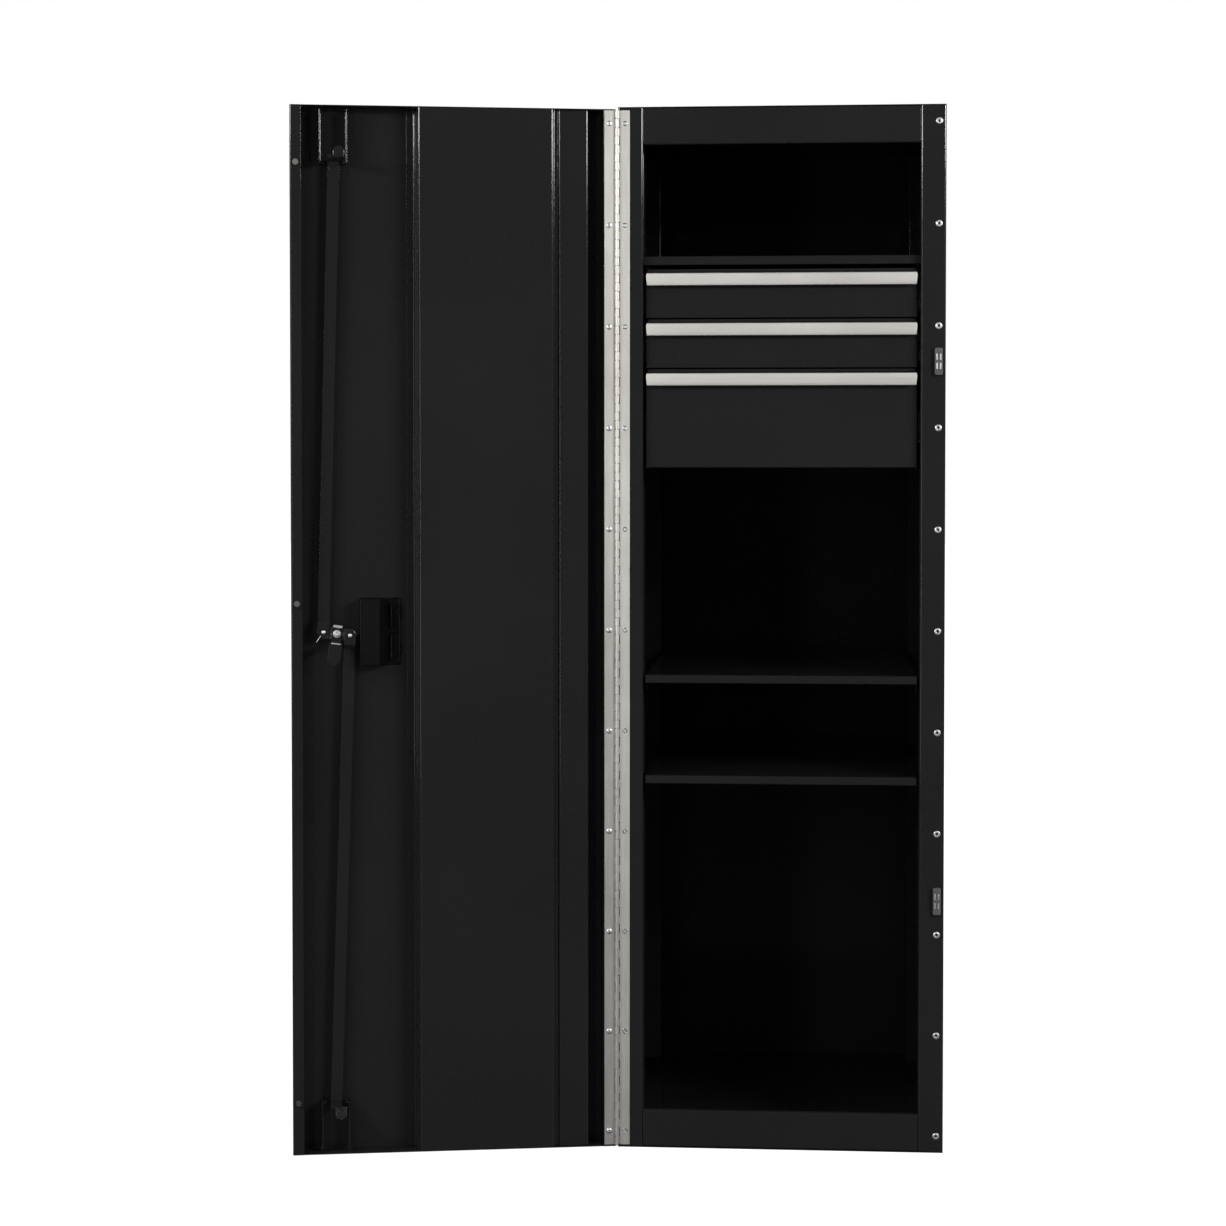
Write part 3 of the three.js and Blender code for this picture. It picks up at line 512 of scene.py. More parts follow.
def plate(
    outline: Sequence[Point],
    low: float,
    high: float,
    plane: Plane,
    corners: Sequence[float] = (),
) -> BMesh:
    """Cuts a solid plate with rounded corners.

    Args:
        outline: The corner points.
        low: Where the plate begins along the third axis.
        high: Where it ends.
        plane: The plane of the outline.
        corners: The radius at each point, or none for sharp corners.

    Returns:
        The closed plate.
    """
    shape = flat(outline, low, plane, corners)
    raised = bmesh.ops.extrude_face_region(shape, geom=shape.faces)["geom"]
    rise = plane.value @ Vector((0, 0, high - low))
    bmesh.ops.translate(shape, verts=verts_of(raised), vec=rise)
    bmesh.ops.recalc_face_normals(shape, faces=shape.faces)
    return shape


def block(low: Sequence[float], high: Sequence[float]) -> BMesh:
    """Makes a block between two opposite corners.

    Args:
        low: The lowest corner.
        high: The highest corner.

    Returns:
        The block.
    """
    shape = bmesh.new()
    near, far = Vector(low), Vector(high)
    size = Matrix.Diagonal((*(far - near), 1))
    bmesh.ops.create_cube(shape, size=1, matrix=Matrix.Translation((near + far) / 2) @ size)
    return shape


def turned(profile: Sequence[Point], x: float = 0, z: float = 0) -> BMesh:
    """Turns a profile about an axis along Y, as a lathe does.

    Args:
        profile: Radius and place along Y of each point.
        x: Where the axis lies.
        z: Where the axis lies.

    Returns:
        The turned shape.
    """
    shape = bmesh.new()
    points = [shape.verts.new((x + radius, along, z)) for radius, along in profile]
    edges = [shape.edges.new(pair) for pair in zip(points, points[1:])]
    bmesh.ops.spin(
        shape,
        geom=points + edges,
        cent=(x, 0, z),
        axis=(0, 1, 0),
        angle=math.tau,
        steps=ROUND_STEPS,
        use_merge=True,
    )
    bmesh.ops.remove_doubles(shape, verts=shape.verts, dist=MERGE)
    bmesh.ops.recalc_face_normals(shape, faces=shape.faces)
    return shape


def joined(shapes: Iterable[BMesh]) -> BMesh:
    """Puts shapes together in one.

    Args:
        shapes: The shapes, which are used up.

    Returns:
        One shape that holds them all.
    """
    whole = bmesh.new()
    for shape in shapes:
        carrier = bpy.data.meshes.new("carrier")
        shape.to_mesh(carrier)
        shape.free()
        whole.from_mesh(carrier)
        bpy.data.meshes.remove(carrier)
    return whole


def window(shape: BMesh, low: Sequence[float], high: Sequence[float]) -> list:
    """Cuts faces along the four sides of a window that lies across Y.

    Args:
        shape: The shape to cut.
        low: The window's lowest corner. Faces in front of or behind it stay whole.
        high: The window's highest corner.

    Returns:
        The faces inside the window.
    """

    def within(face: bmesh.types.BMFace, axes: Sequence[int]) -> bool:
        """Whether the face's middle lies in the window along these axes."""
        middle = face.calc_center_median()
        return all(low[a] <= middle[a] <= high[a] for a in axes)

    for axis, place in ((0, low), (0, high), (2, low), (2, high)):
        faces = [f for f in shape.faces if within(f, (1,)) and abs(f.normal.y) > FACING]
        cut = set(faces)
        for face in faces:
            cut.update(face.edges)
            cut.update(face.verts)
        side = Vector((0, 0, 0))
        side[axis] = 1
        bmesh.ops.bisect_plane(shape, geom=list(cut), plane_co=place, plane_no=side)
    return [f for f in shape.faces if within(f, (0, 1, 2)) and abs(f.normal.y) > FACING]


def box_of(node: str) -> tuple[Vector, Vector]:
    """The lowest and highest corner of a CAD node in millimetres."""
    low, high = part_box(node)
    return low / MM, high / MM


def rectangle(near: float, far: float, low: float, high: float) -> list[Point]:
    """The corners of a rectangle, from near and low round to near and high."""
    return [(near, low), (far, low), (far, high), (near, high)]


def linked(name: str, shape: BMesh, material: bpy.types.Material) -> bpy.types.Object:
    """Makes an object of a shape and links it to the scene.

    Args:
        name: The object's name.
        shape: Its shape in metres, which is used up.
        material: Its material.

    Returns:
        The object.
    """
    mesh = bpy.data.meshes.new(name)
    shape.to_mesh(mesh)
    shape.free()
    mesh.materials.append(material)
    made = bpy.data.objects.new(name, mesh)
    bpy.context.scene.collection.objects.link(made)
    return made


class Bench:
    """Makes pieces of the shapes, finishes them and fits them to their bodies."""

    def __init__(self) -> None:
        """Mixes every finish once."""
        self.materials = {finish: finish.material() for finish in FINISHES}
        self.by_slot = {finish.slot.value: finish for finish in reversed(FINISHES)}

    def fit(
        self,
        name: str,
        shape: BMesh,
        body: str,
        finish: Finish,
        *,
        place: Matrix = Matrix(),
        gauge: float = 0,
        inward: bool = False,
        edge: float = 0.3,
        replaces: Sequence[str] = (),
    ) -> bpy.types.Object:
        """Makes a finished piece and lets it ride on its body.

        Args:
            name: The piece's name.
            shape: Its shape in millimetres, which is used up.
            body: The CAD body that it rides on.
            finish: Its finish.
            place: Where the shape's own frame stands, in metres.
            gauge: The thickness of a sheet, or 0 for a solid shape.
            inward: Whether a sheet's thickness lies behind its faces, not on both sides.
            edge: How far sharp edges are rounded.
            replaces: The CAD nodes that it stands for.

        Returns:
            The piece.
        """
        bmesh.ops.transform(shape, matrix=place @ Matrix.Scale(MM, 4), verts=shape.verts)
        piece = linked(name, shape, self.materials[finish])
        piece.data.shade_smooth()
        if gauge:
            thicken = piece.modifiers.new("gauge", "SOLIDIFY")
            thicken.thickness = gauge * MM
            thicken.offset = -1 if inward else 0
            thicken.use_even_offset = True
        ease = piece.modifiers.new("edges", "BEVEL")
        ease.width = edge * MM
        ease.segments = EDGE_STEPS
        ease.limit_method = "ANGLE"
        ease.angle_limit = SMOOTH_LIMIT
        ease.use_clamp_overlap = True
        shading = piece.modifiers.new("flats", "WEIGHTED_NORMAL")
        shading.keep_sharp = True
        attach(piece, body)
        if replaces:
            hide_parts(*replaces)
        LOG.info("%s on %s in %s", name, body, finish.name)
        return piece

    def dress_nodes(self) -> None:
        """Gives every CAD node the finish of its slot in the record."""
        for part in frame["record"]["subparts"]:
            mesh = frame["nodes"][part["node"]].data
            mesh.materials.clear()
            mesh.materials.append(self.materials[self.by_slot[part["material_slot"]]])


@dataclass
class Assembly:
    """A group of pieces that are built together on the bench."""

    bench: Bench


# Cabinet


@dataclass
class Carcass(Assembly):
    """The folded body: two walls with stiles, back, top, floor, header and sill."""

    bend: float = 2.2
    stile_return: float = 11
    rear_flange: float = 17
    rail_flange: float = 25
    weld_pitch: float = 96.5
    weld_radius: float = 3.2

    def wall(self, node: str, side: int) -> BMesh:
        """Folds a side wall with its stile, return and rear flange.

        Args:
            node: The CAD node it stands for.
            side: -1 for the hinge side and 1 for the latch side.

        Returns:
            The sheet.
        """
        low, high = box_of(node)
        half = SHEET / 2
        outer = low.x + half if side < 0 else high.x - half
        inner = -side * abs(high.x - low.x - SHEET) + outer
        face = frame_front() + half
        line = [
            (inner, frame_front() + self.stile_return),
            (inner, face),
            (outer, face),
            (outer, high.y - half),
            (outer - side * (self.rear_flange - half), high.y - half),
        ]
        return folded(line, [(low.z, high.z)], self.bend)

    def pan(self, node: str, inward: int) -> BMesh:
        """Makes the top or the floor: a plate with a flange inside each wall.

        Args:
            node: The CAD node it stands for.
            inward: 1 if the flanges point up and -1 if they point down.

        Returns:
            The pan.
        """
        low, high = box_of(node)
        level = low.z if inward > 0 else high.z - SHEET
        shapes = [block((low.x, low.y, level), (high.x, high.y, level + SHEET))]
        inside = high.x - SHEET - SEAM
        for edge in (-inside, inside - SHEET):
            near = (edge, low.y + self.rail_flange, low.z)
            far = (edge + SHEET, high.y - self.rail_flange, high.z)
            shapes.append(block(near, far))
        return joined(shapes)

    def rail(self, node: str, inward: int) -> BMesh:
        """Folds the header or the sill.

        Args:
            node: The CAD node it stands for.
            inward: 1 for the sill and -1 for the header.

        Returns:
            The sheet.
        """
        low, high = box_of(node)
        half = SHEET / 2
        outer, inner = low.z + half, high.z - half
        if inward < 0:
            outer, inner = inner, outer
        line = [
            (low.y + self.rail_flange, outer),
            (low.y + half, outer),
            (low.y + half, inner),
            (low.y + self.stile_return, inner),
        ]
        return folded(line, [(low.x, high.x)], self.bend, Plane.YZ)

    def back_welds(self) -> BMesh:
        """Sets the row of spot welds along both edges of the back.

        Returns:
            The welds.
        """
        low, high = box_of("back_panel")
        marks = []
        for side in (-1, 1):
            x = side * (high.x - self.rear_flange / 2)
            count = int((high.z - low.z) / self.weld_pitch)
            first = (low.z + high.z - (count - 1) * self.weld_pitch) / 2
            for i in range(count):
                marks.append(spot_weld(x, high.y, first + i * self.weld_pitch, self.weld_radius))
        return joined(marks)

    def build(self) -> None:
        """Builds and fits the body's sheets."""
        sheets = {
            "hinge_wall_sheet": (self.wall("hinge_side_wall", -1), "hinge_side_wall"),
            "latch_wall_sheet": (self.wall("latch_side_wall", 1), "latch_side_wall"),
            "header_channel": (self.rail("header_rail", -1), "header_rail"),
            "sill_channel": (self.rail("sill_rail", 1), "sill_rail"),
        }
        for name, (shape, node) in sheets.items():
            self.bench.fit(name, shape, "cabinet", COAT, gauge=SHEET, replaces=[node])
        low, high = box_of("back_panel")
        seam = Vector((0, 0, SEAM))
        back = block(low - seam, high + seam)
        self.bench.fit("back_sheet", back, "cabinet", COAT, replaces=["back_panel"])
        self.bench.fit("back_spot_welds", self.back_welds(), "cabinet", COAT, edge=0.05)
        top = self.pan("top_panel", -1)
        self.bench.fit("top_pan", top, "cabinet", COAT, replaces=["top_panel"])
        floor = self.pan("floor_panel", 1)
        self.bench.fit("floor_pan", floor, "cabinet", COAT, replaces=["floor_panel"])


def frame_front() -> float:
    """The cabinet's front face along Y in millimetres."""
    return box_of("header_rail")[0].y


# A spot weld's section: shares of its radius and of the height of its crest
WELD_SECTION = ((1, -1), (1, 0.3), (0.75, 1), (0.5, 0.3), (0, 0.15))
WELD_CREST = 0.25


def spot_weld(x: float, y: float, z: float, radius: float) -> BMesh:
    """Makes the shallow ring that a spot weld leaves in painted sheet.

    Args:
        x: Its place across.
        y: The face of the sheet, which the ring stands on towards +Y.
        z: Its height.
        radius: Its outer radius.

    Returns:
        The ring.
    """
    profile = [(radius * share, y + WELD_CREST * rise) for share, rise in WELD_SECTION]
    return turned(profile, x, z)


@dataclass
class StileHardware(Assembly):
    """The threaded inserts and the magnetic catches in the latch stile.

    mouth is the round mouth of an insert's bore and brim the round edge of its flange, both in
    steps out from that radius and back from the insert's face.
    """

    line: float = 231
    first: float = 24.5
    pitch: float = 150
    count: int = 11
    flange: float = 5.1
    bore: float = 1.8
    proud: float = 0.9
    depth: float = 6
    mouth: tuple[Point, ...] = ((0, 0.6), (0.4, 0.15), (1.2, 0))
    brim: tuple[Point, ...] = ((-1.1, 0.1), (-0.4, 0.4))
    catch_corner: float = 2.5
    pole_width: float = 2
    pole_length: float = 9.4
    pole_apart: float = 5.3
    pole_pitch: float = 13.3
    pole_proud: float = 0.5
    pole_root: float = 2

    def insert(self, z: float) -> BMesh:
        """Turns a threaded insert with a rounded flange.

        Args:
            z: Its height.

        Returns:
            The insert.
        """
        front = frame_front()
        face = front - self.proud
        profile = [
            (self.bore, front + self.depth),
            *((self.bore + out, face + back) for out, back in self.mouth),
            *((self.flange + out, face + back) for out, back in self.brim),
            (self.flange, front),
        ]
        return turned(profile, self.line, z)

    def catch(self, node: str) -> tuple[BMesh, BMesh]:
        """Makes a catch's moulded case and its four pole strips.

        Args:
            node: The CAD node it stands for.

        Returns:
            The case and the strips.
        """
        low, high = box_of(node)
        outline = rectangle(low.x, high.x, low.z, high.z)
        seat = frame_front() - SEAM
        case = plate(outline, low.y, seat, Plane.XZ, [self.catch_corner] * 4)
        middle = (low + high) / 2
        poles = []
        for side in (-1, 1):
            for end in (-1, 1):
                x = middle.x + side * self.pole_apart / 2
                z = middle.z + end * self.pole_pitch / 2
                reach = Vector((self.pole_width / 2, 0, self.pole_length / 2))
                near = Vector((x, low.y - self.pole_proud, z)) - reach
                far = Vector((x, low.y + self.pole_root, z)) + reach
                poles.append(block(near, far))
        return case, joined(poles)

    def build(self) -> None:
        """Builds and fits the stile's hardware."""
        inserts = joined(self.insert(self.first + self.pitch * i) for i in range(self.count))
        self.bench.fit("stile_inserts", inserts, "cabinet", DULL_ZINC, edge=0.1)
        for word in ("upper", "lower"):
            node = f"catch_{word}"
            case, poles = self.catch(node)
            self.bench.fit(f"{node}_case", case, "cabinet", GREY_PLASTIC, edge=0.8, replaces=[node])
            self.bench.fit(f"{node}_poles", poles, "cabinet", DULL_ZINC, edge=0.5)


@dataclass
class Shelving(Assembly):
    """The divider over the drawers and the two shelves that hook into the posts."""

    bend: float = 1.6
    lip_depth: float = 13
    flange_drop: float = 26
    flange_setback: float = 20
    hook_drop: float = 24
    hook_height: float = 10
    hook_thick: float = 2.4
    shelf_lip: float = 12.3
    past_tray: float = 1

    def sheet(self, node: str, half: float, lip: float) -> BMesh:
        """Folds a shelf's top with its front lip and rear flange.

        Args:
            node: The CAD node it stands for.
            half: Half of its width.
            lip: How far the front and the rear are folded down.

        Returns:
            The sheet.
        """
        low, high = box_of(node)
        step = SHEET / 2
        line = [
            (low.y + self.lip_depth, high.z - lip + step),
            (low.y + step, high.z - lip + step),
            (low.y + step, high.z - step),
            (high.y - step, high.z - step),
            (high.y - step, high.z - lip),
        ]
        return folded(line, [(-half, half)], self.bend, Plane.YZ)

    def hooks(self, node: str, half: float) -> BMesh:
        """Makes the side flanges and the hooks that stand in the posts' slots.

        Args:
            node: The CAD node it stands for.
            half: Half of the shelf's width.

        Returns:
            Flanges and hooks.
        """
        low, high = box_of(node)
        shapes = []
        for side in (-1, 1):
            xs = sorted((side * half, side * (half - SHEET)))
            near = (xs[0], low.y + self.flange_setback, high.z - self.flange_drop)
            far = (xs[1], high.y - self.flange_setback, high.z - SHEET / 2)
            shapes.append(block(near, far))
            for post in ("post_front_left", "post_rear_left"):
                ends = box_of(post)
                y = (ends[0].y + ends[1].y) / 2
                tips = sorted((side * (half - SHEET), side * high.x))
                foot = high.z - self.hook_drop
                hook_near = (tips[0], y - self.hook_thick / 2, foot)
                hook_far = (tips[1], y + self.hook_thick / 2, foot + self.hook_height)
                shapes.append(block(hook_near, hook_far))
        return joined(shapes)

    def build(self) -> None:
        """Builds and fits the divider and the shelves."""
        low, high = box_of("drawer_divider")
        divider = self.sheet("drawer_divider", high.x, high.z - low.z)
        self.bench.fit(
            "divider_sheet", divider, "cabinet", COAT, gauge=SHEET, replaces=["drawer_divider"]
        )
        half = box_of("drawer_top_tray")[1].x + self.past_tray
        for node in ("upper_shelf", "lower_shelf"):
            sheet = self.sheet(node, half, self.shelf_lip)
            self.bench.fit(f"{node}_sheet", sheet, "cabinet", COAT, gauge=SHEET, replaces=[node])
            self.bench.fit(f"{node}_hooks", self.hooks(node, half), "cabinet", COAT)


# Drawers


# The pull's section: how far behind its face and below its top each corner lies
PULL_HEIGHT = 18.5
PULL_SHOULDER = 4.5
PULL_SECTION = (
    (0.1, 13), (0.5, 17.6), (1, PULL_HEIGHT), (2, PULL_HEIGHT), (2, 3.2), (3.2, 2), (10.2, 2),
    (10.2, 6), (11.7, 6), (11.7, 2), (13.5, 2), (13.5, 9), (15, 9), (15, 0.8), (14.2, 0),
    (1.1, 0), (0.4, 0.8), (0, PULL_SHOULDER),
)


@dataclass
class Drawer(Assembly):
    """One drawer: a folded front and tray, and the drawn pull along its top edge."""

    name: str
    wall_height: float
    front_return: float = 13
    bend: float = 1.6
    floor_rise: float = 2
    slide_space: float = 12.8
    end_rise: float = 4
    end_corner: float = 3
    pull_taper: float = 1.4
    hem_rise: float = 6.3
    hem_drop: float = 2.2
    hem_foot: float = 4
    hem_setback: float = 0.5
    hem_inset: float = 2
    hem_bend: float = 0.9

    def tray(self) -> BMesh:
        """Folds the front and the tray behind it.

        Returns:
            The sheets.
        """
        low, high = box_of(f"{self.name}_tray")
        step = SHEET / 2
        front = [
            (low.y + self.front_return, low.z + step),
            (low.y + step, low.z + step),
            (low.y + step, high.z),
        ]
        shapes = [folded(front, [(low.x, high.x)], self.bend, Plane.YZ)]
        floor = low.z + self.floor_rise
        half = box_of("post_front_right")[0].x - self.slide_space - step
        rim = floor + self.wall_height
        trough = [(-half, rim), (-half, floor + step), (half, floor + step), (half, rim)]
        shapes.append(folded(trough, [(low.y + SHEET, high.y - step)], self.bend, Plane.XZ))
        shapes.append(flat(rectangle(-half, half, floor, rim), high.y - step, Plane.XZ))
        top = box_of(f"{self.name}_pull")[0].z + self.end_rise
        ends = rectangle(low.y, low.y + self.front_return, low.z, top)
        corners = [0, self.end_corner, self.end_corner, 0]
        for x in (low.x + step, high.x - step):
            shapes.append(flat(ends, x, Plane.YZ, corners))
        return joined(shapes)

    def pull(self) -> BMesh:
        """Draws the pull's section along the drawer and tapers its ends.

        Returns:
            The pull.
        """
        low, high = box_of(f"{self.name}_pull")
        outline = [(low.y + back, high.z - down) for back, down in PULL_SECTION]
        shape = plate(outline, low.x, high.x, Plane.YZ)
        for vert in shape.verts:
            down = high.z - vert.co.z
            above = 1 - down / PULL_SHOULDER
            below = (down - PULL_SHOULDER) / (PULL_HEIGHT - PULL_SHOULDER)
            vert.co.x -= math.copysign(self.pull_taper * max(above, below), vert.co.x)
        return shape

    def hem(self) -> BMesh:
        """Folds the strip behind the pull, whose hem stands above it.

        Returns:
            The strip.
        """
        low, high = box_of(f"{self.name}_pull")
        back = high.y + SEAM + SHEET / 2
        foot = high.z - PULL_HEIGHT + self.hem_foot
        crest = high.z + self.hem_rise - SHEET / 2
        line = [
            (low.y + self.front_return - self.hem_setback, foot),
            (back, foot),
            (back, crest),
            (back - 2 * SHEET, crest),
            (back - 2 * SHEET, high.z + self.hem_drop),
        ]
        span = (low.x + self.hem_inset, high.x - self.hem_inset)
        return folded(line, [span], self.hem_bend, Plane.YZ)

    def build(self) -> None:
        """Builds and fits the drawer."""
        tray, pull = f"{self.name}_tray", f"{self.name}_pull"
        self.bench.fit(f"{tray}_sheet", self.tray(), self.name, COAT, gauge=SHEET, replaces=[tray])
        self.bench.fit(f"{pull}_section", self.pull(), self.name, ALUMINIUM, replaces=[pull])
        self.bench.fit(f"{self.name}_hem_strip", self.hem(), self.name, COAT, gauge=SHEET)


# Door


def joint_of(name: str) -> dict:
    """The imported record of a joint."""
    return next(joint for joint in frame["joints"] if joint["name"] == name)


def door_place() -> Matrix:
    """Where the door's own frame stands: on the hinge pin, swung open.

    Returns:
        Its place in metres.
    """
    joint = joint_of("door_hinge")
    pin = joint["pos_m"]
    swing = Matrix.Rotation(math.radians(joint["range_deg"][0]), 4, "Z")
    return Matrix.Translation((pin[0], pin[1], 0)) @ swing


# Sections of the hinge's heads: shares of their radius, and places along Y from the leaf's face
PAN_HEAD = ((0, -1), (0.26, -1), (0.32, 1.7), (0.6, 1.55), (0.85, 1.1), (1, 0.5), (1, -0.2))
FLUSH_RIM = ((0.56, 0.2), (0.64, -0.4), (0.78, -0.6), (0.92, -0.4), (1, 0.2))


@dataclass
class Hinge(Assembly):
    """The continuous hinge: two leaves whose knuckles curl round one pin."""

    barrel: float = 3
    leaf: float = 1.2
    width: float = 18.6
    low: float = 4
    high: float = 1544
    knuckle: float = 12.7
    gap: float = 0.8
    frame_gap: float = 0.8
    door_gap: float = 0.15
    overlap: float = 0.4
    curl: float = 290
    head: float = 4.2
    rim: float = 3.8
    screw_line: float = 11.5
    screw_first: float = 24.5
    screw_pitch: float = 150
    screw_count: int = 11

    def leaf_sheet(self, sign: int) -> BMesh:
        """Rolls a leaf with every other knuckle.

        Args:
            sign: 1 for the frame's leaf and -1 for the door's.

        Returns:
            The sheet.
        """
        level = sign * (self.barrel - self.leaf / 2)
        root = self.barrel + (self.frame_gap if sign > 0 else self.door_gap)
        strip = folded([(self.width, level), (root, level)], [(self.low, self.high)], 0)
        count = 2 * round(((self.high - self.low) / self.knuckle - 1) / 2) + 1
        pitch = (self.high - self.low) / count
        spans = []
        for i in range(0 if sign > 0 else 1, count, 2):
            start = self.low + pitch * i
            spans.append((start + self.gap / 2, start + pitch - self.gap / 2))
        rolled = folded([(root + self.overlap, level), (0, level)], spans, 0)
        edges = [e for e in rolled.edges if all(abs(v.co.x) < CLOSE for v in e.verts)]
        bmesh.ops.spin(
            rolled,
            geom=edges,
            cent=(0, 0, 0),
            axis=(0, 0, 1),
            angle=math.radians(sign * self.curl),
            steps=CURL_STEPS,
            use_merge=False,
        )
        return joined([strip, rolled])

    def heads(self, section: Sequence[Point], radius: float, seat: float) -> BMesh:
        """Turns a row of heads.

        Args:
            section: The section of a head.
            radius: Its radius.
            seat: The leaf's face along Y.

        Returns:
            The heads.
        """
        profile = [(radius * share, seat + along) for share, along in section]
        heights = [self.screw_first + self.screw_pitch * i for i in range(self.screw_count)]
        return joined(turned(profile, self.screw_line, z) for z in heights)

    def build(self) -> None:
        """Builds and fits both leaves, the rivets in the frame's and the screws in the door's."""
        low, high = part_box("hinge_pin")
        pin = Matrix.Translation(((low.x + high.x) / 2, (low.y + high.y) / 2, 0))
        seat = self.barrel - self.leaf
        rims = self.heads(FLUSH_RIM, self.rim, seat)
        domes = self.heads(PAN_HEAD, self.head, -seat)
        sides = (
            ("frame", "cabinet", 1, pin, rims, ZINC),
            ("door", "door", -1, door_place(), domes, DULL_ZINC),
        )
        for word, body, sign, place, heads, plating in sides:
            self.bench.fit(
                f"hinge_{word}_leaf_strip",
                self.leaf_sheet(sign),
                body,
                STAINLESS,
                place=place,
                gauge=self.leaf,
                edge=0.25,
                replaces=[f"hinge_leaf_{word}"],
            )
            self.bench.fit(f"hinge_{word}_screws", heads, body, plating, place=place, edge=0.1)


@dataclass
class Door(Assembly):
    """The door's skin, inner panel, hat channel and bumpers.

    bumper_crown rounds a bumper in steps in from its radius and down from its top.
    """

    bottom: float = 1
    top: float = 1546
    near: float = 1
    far: float = 481
    lip: float = -3.3
    face: float = -38.3
    hinge_lip: float = 19
    free_lip: float = 16.5
    bend: float = 1.6
    stiffener_bend: float = 2.6
    panel_near: float = 94.5
    panel_far: float = 293
    panel_wall: float = 5
    panel_flange: float = 12
    panel_step: float = 8.5
    hat_near: float = 42.5
    hat_far: float = 85.5
    hat_face: float = 6.7
    hat_flange: float = 11
    hat_lean: float = 1.5
    hat_rear_flange: float = 5
    cup_window: tuple[float, float, float, float] = (320.6, 380.6, 723.2, 822.8)
    cut_reach: float = 1
    bumper_radius: float = 4.7
    bumper_height: float = 5
    bumper_crown: tuple[Point, ...] = ((0, 1.8), (0.5, 0.8), (1.6, 0))
    bumper_line: float = 472.5
    bumpers: Spot = (1462, 816, 78.4)
    weld_first: float = 1530
    weld_pitch: float = 193
    weld_count: int = 8
    weld_radius: float = 3

    def skin(self) -> BMesh:
        """Folds the skin round the door's edges, with a window for the recessed pull.

        Returns:
            The sheet.
        """
        step = SHEET / 2
        lip, face = self.lip - step, self.face + step
        near, far = self.near + step, self.far - step
        line = [
            (self.near + self.hinge_lip, lip),
            (near, lip),
            (near, face),
            (far, face),
            (far, lip),
            (self.far - self.free_lip, lip),
        ]
        wrap = folded(line, [(self.bottom, self.top)], self.bend)
        u0, u1, z0, z1 = self.cup_window
        reach = self.cut_reach
        opening = window(wrap, (u0, face - reach, z0), (u1, face + reach, z1))
        bmesh.ops.delete(wrap, geom=opening, context="FACES")
        ends = rectangle(near, far, face, lip)
        levels = (self.bottom + step, self.top - step)
        flanges = [flat(ends, z, Plane.XY, [self.bend] * 4) for z in levels]
        return joined([wrap, *flanges])

    def panel(self) -> BMesh:
        """Folds the inner panel that stiffens the door's middle.

        Returns:
            The sheet.
        """
        seat = self.face + SHEET + SEAM + SHEET / 2
        face = self.lip - SHEET / 2
        foot = self.panel_far + self.panel_wall
        line = [
            (foot + self.panel_flange, seat),
            (foot, seat),
            (self.panel_far, face),
            (self.panel_near, face),
            (self.panel_near, face - self.panel_step),
            (self.hat_far + SHEET + SEAM, face - self.panel_step),
        ]
        return folded(line, [self.stiffener_span()], self.stiffener_bend)

    def hat(self) -> BMesh:
        """Folds the hat channel that backs the hinge edge.

        Returns:
            The sheet.
        """
        seat = self.face + SHEET + SEAM + SHEET / 2
        face = self.lip - self.hat_face - SHEET / 2
        foot = self.hat_far + self.hat_lean
        line = [
            (foot + self.hat_rear_flange, seat),
            (foot, seat),
            (self.hat_far, face),
            (self.hat_near, face),
            (self.hat_near, seat),
            (self.hat_near - self.hat_flange, seat),
        ]
        return folded(line, [self.stiffener_span()], Carcass.bend)

    def stiffener_span(self) -> Point:
        """Where panel and hat begin and end between the skin's end flanges."""
        return self.bottom + SHEET + SEAM, self.top - SHEET - SEAM

    def panel_welds(self) -> BMesh:
        """Sets the spot welds along the inner panel's flange.

        Returns:
            The welds.
        """
        seat = self.face + 2 * SHEET + SEAM
        u = self.panel_far + self.panel_wall + self.panel_flange / 2
        heights = [self.weld_first - self.weld_pitch * i for i in range(self.weld_count)]
        return joined(spot_weld(u, seat, z, self.weld_radius) for z in heights)

    def bumper(self, z: float) -> BMesh:
        """Turns a rubber bumper with a rounded crown.

        Args:
            z: Its height on the free lip.

        Returns:
            The bumper.
        """
        seat = self.lip + SEAM
        crown = seat + self.bumper_height
        radius = self.bumper_radius
        edge = [(radius - inward, crown - down) for inward, down in self.bumper_crown]
        return turned([(radius, seat), *edge, (0, crown)], self.bumper_line, z)

    def build(self) -> None:
        """Builds and fits the door."""
        sheets = {
            "door_skin_sheet": (self.skin(), "door_skin"),
            "door_panel_sheet": (self.panel(), "door_inner_panel"),
            "door_hat_sheet": (self.hat(), "door_hinge_channel"),
        }
        fit = partial(self.bench.fit, body="door", place=door_place())
        for name, (shape, node) in sheets.items():
            fit(name, shape, finish=COAT, gauge=SHEET, replaces=[node])
        fit("door_panel_welds", self.panel_welds(), finish=COAT, edge=0.05)
        # The lower bumpers take darker copies of the rubber: painted shade that deepens down the door
        rubbers = (RUBBER, HALF_SHADED_RUBBER, DEEP_SHADED_RUBBER)
        for i, (z, rubber) in enumerate(zip(self.bumpers, rubbers), start=1):
            node = f"door_bumper_{i}"
            fit(f"{node}_pad", self.bumper(z), finish=rubber, replaces=[node])


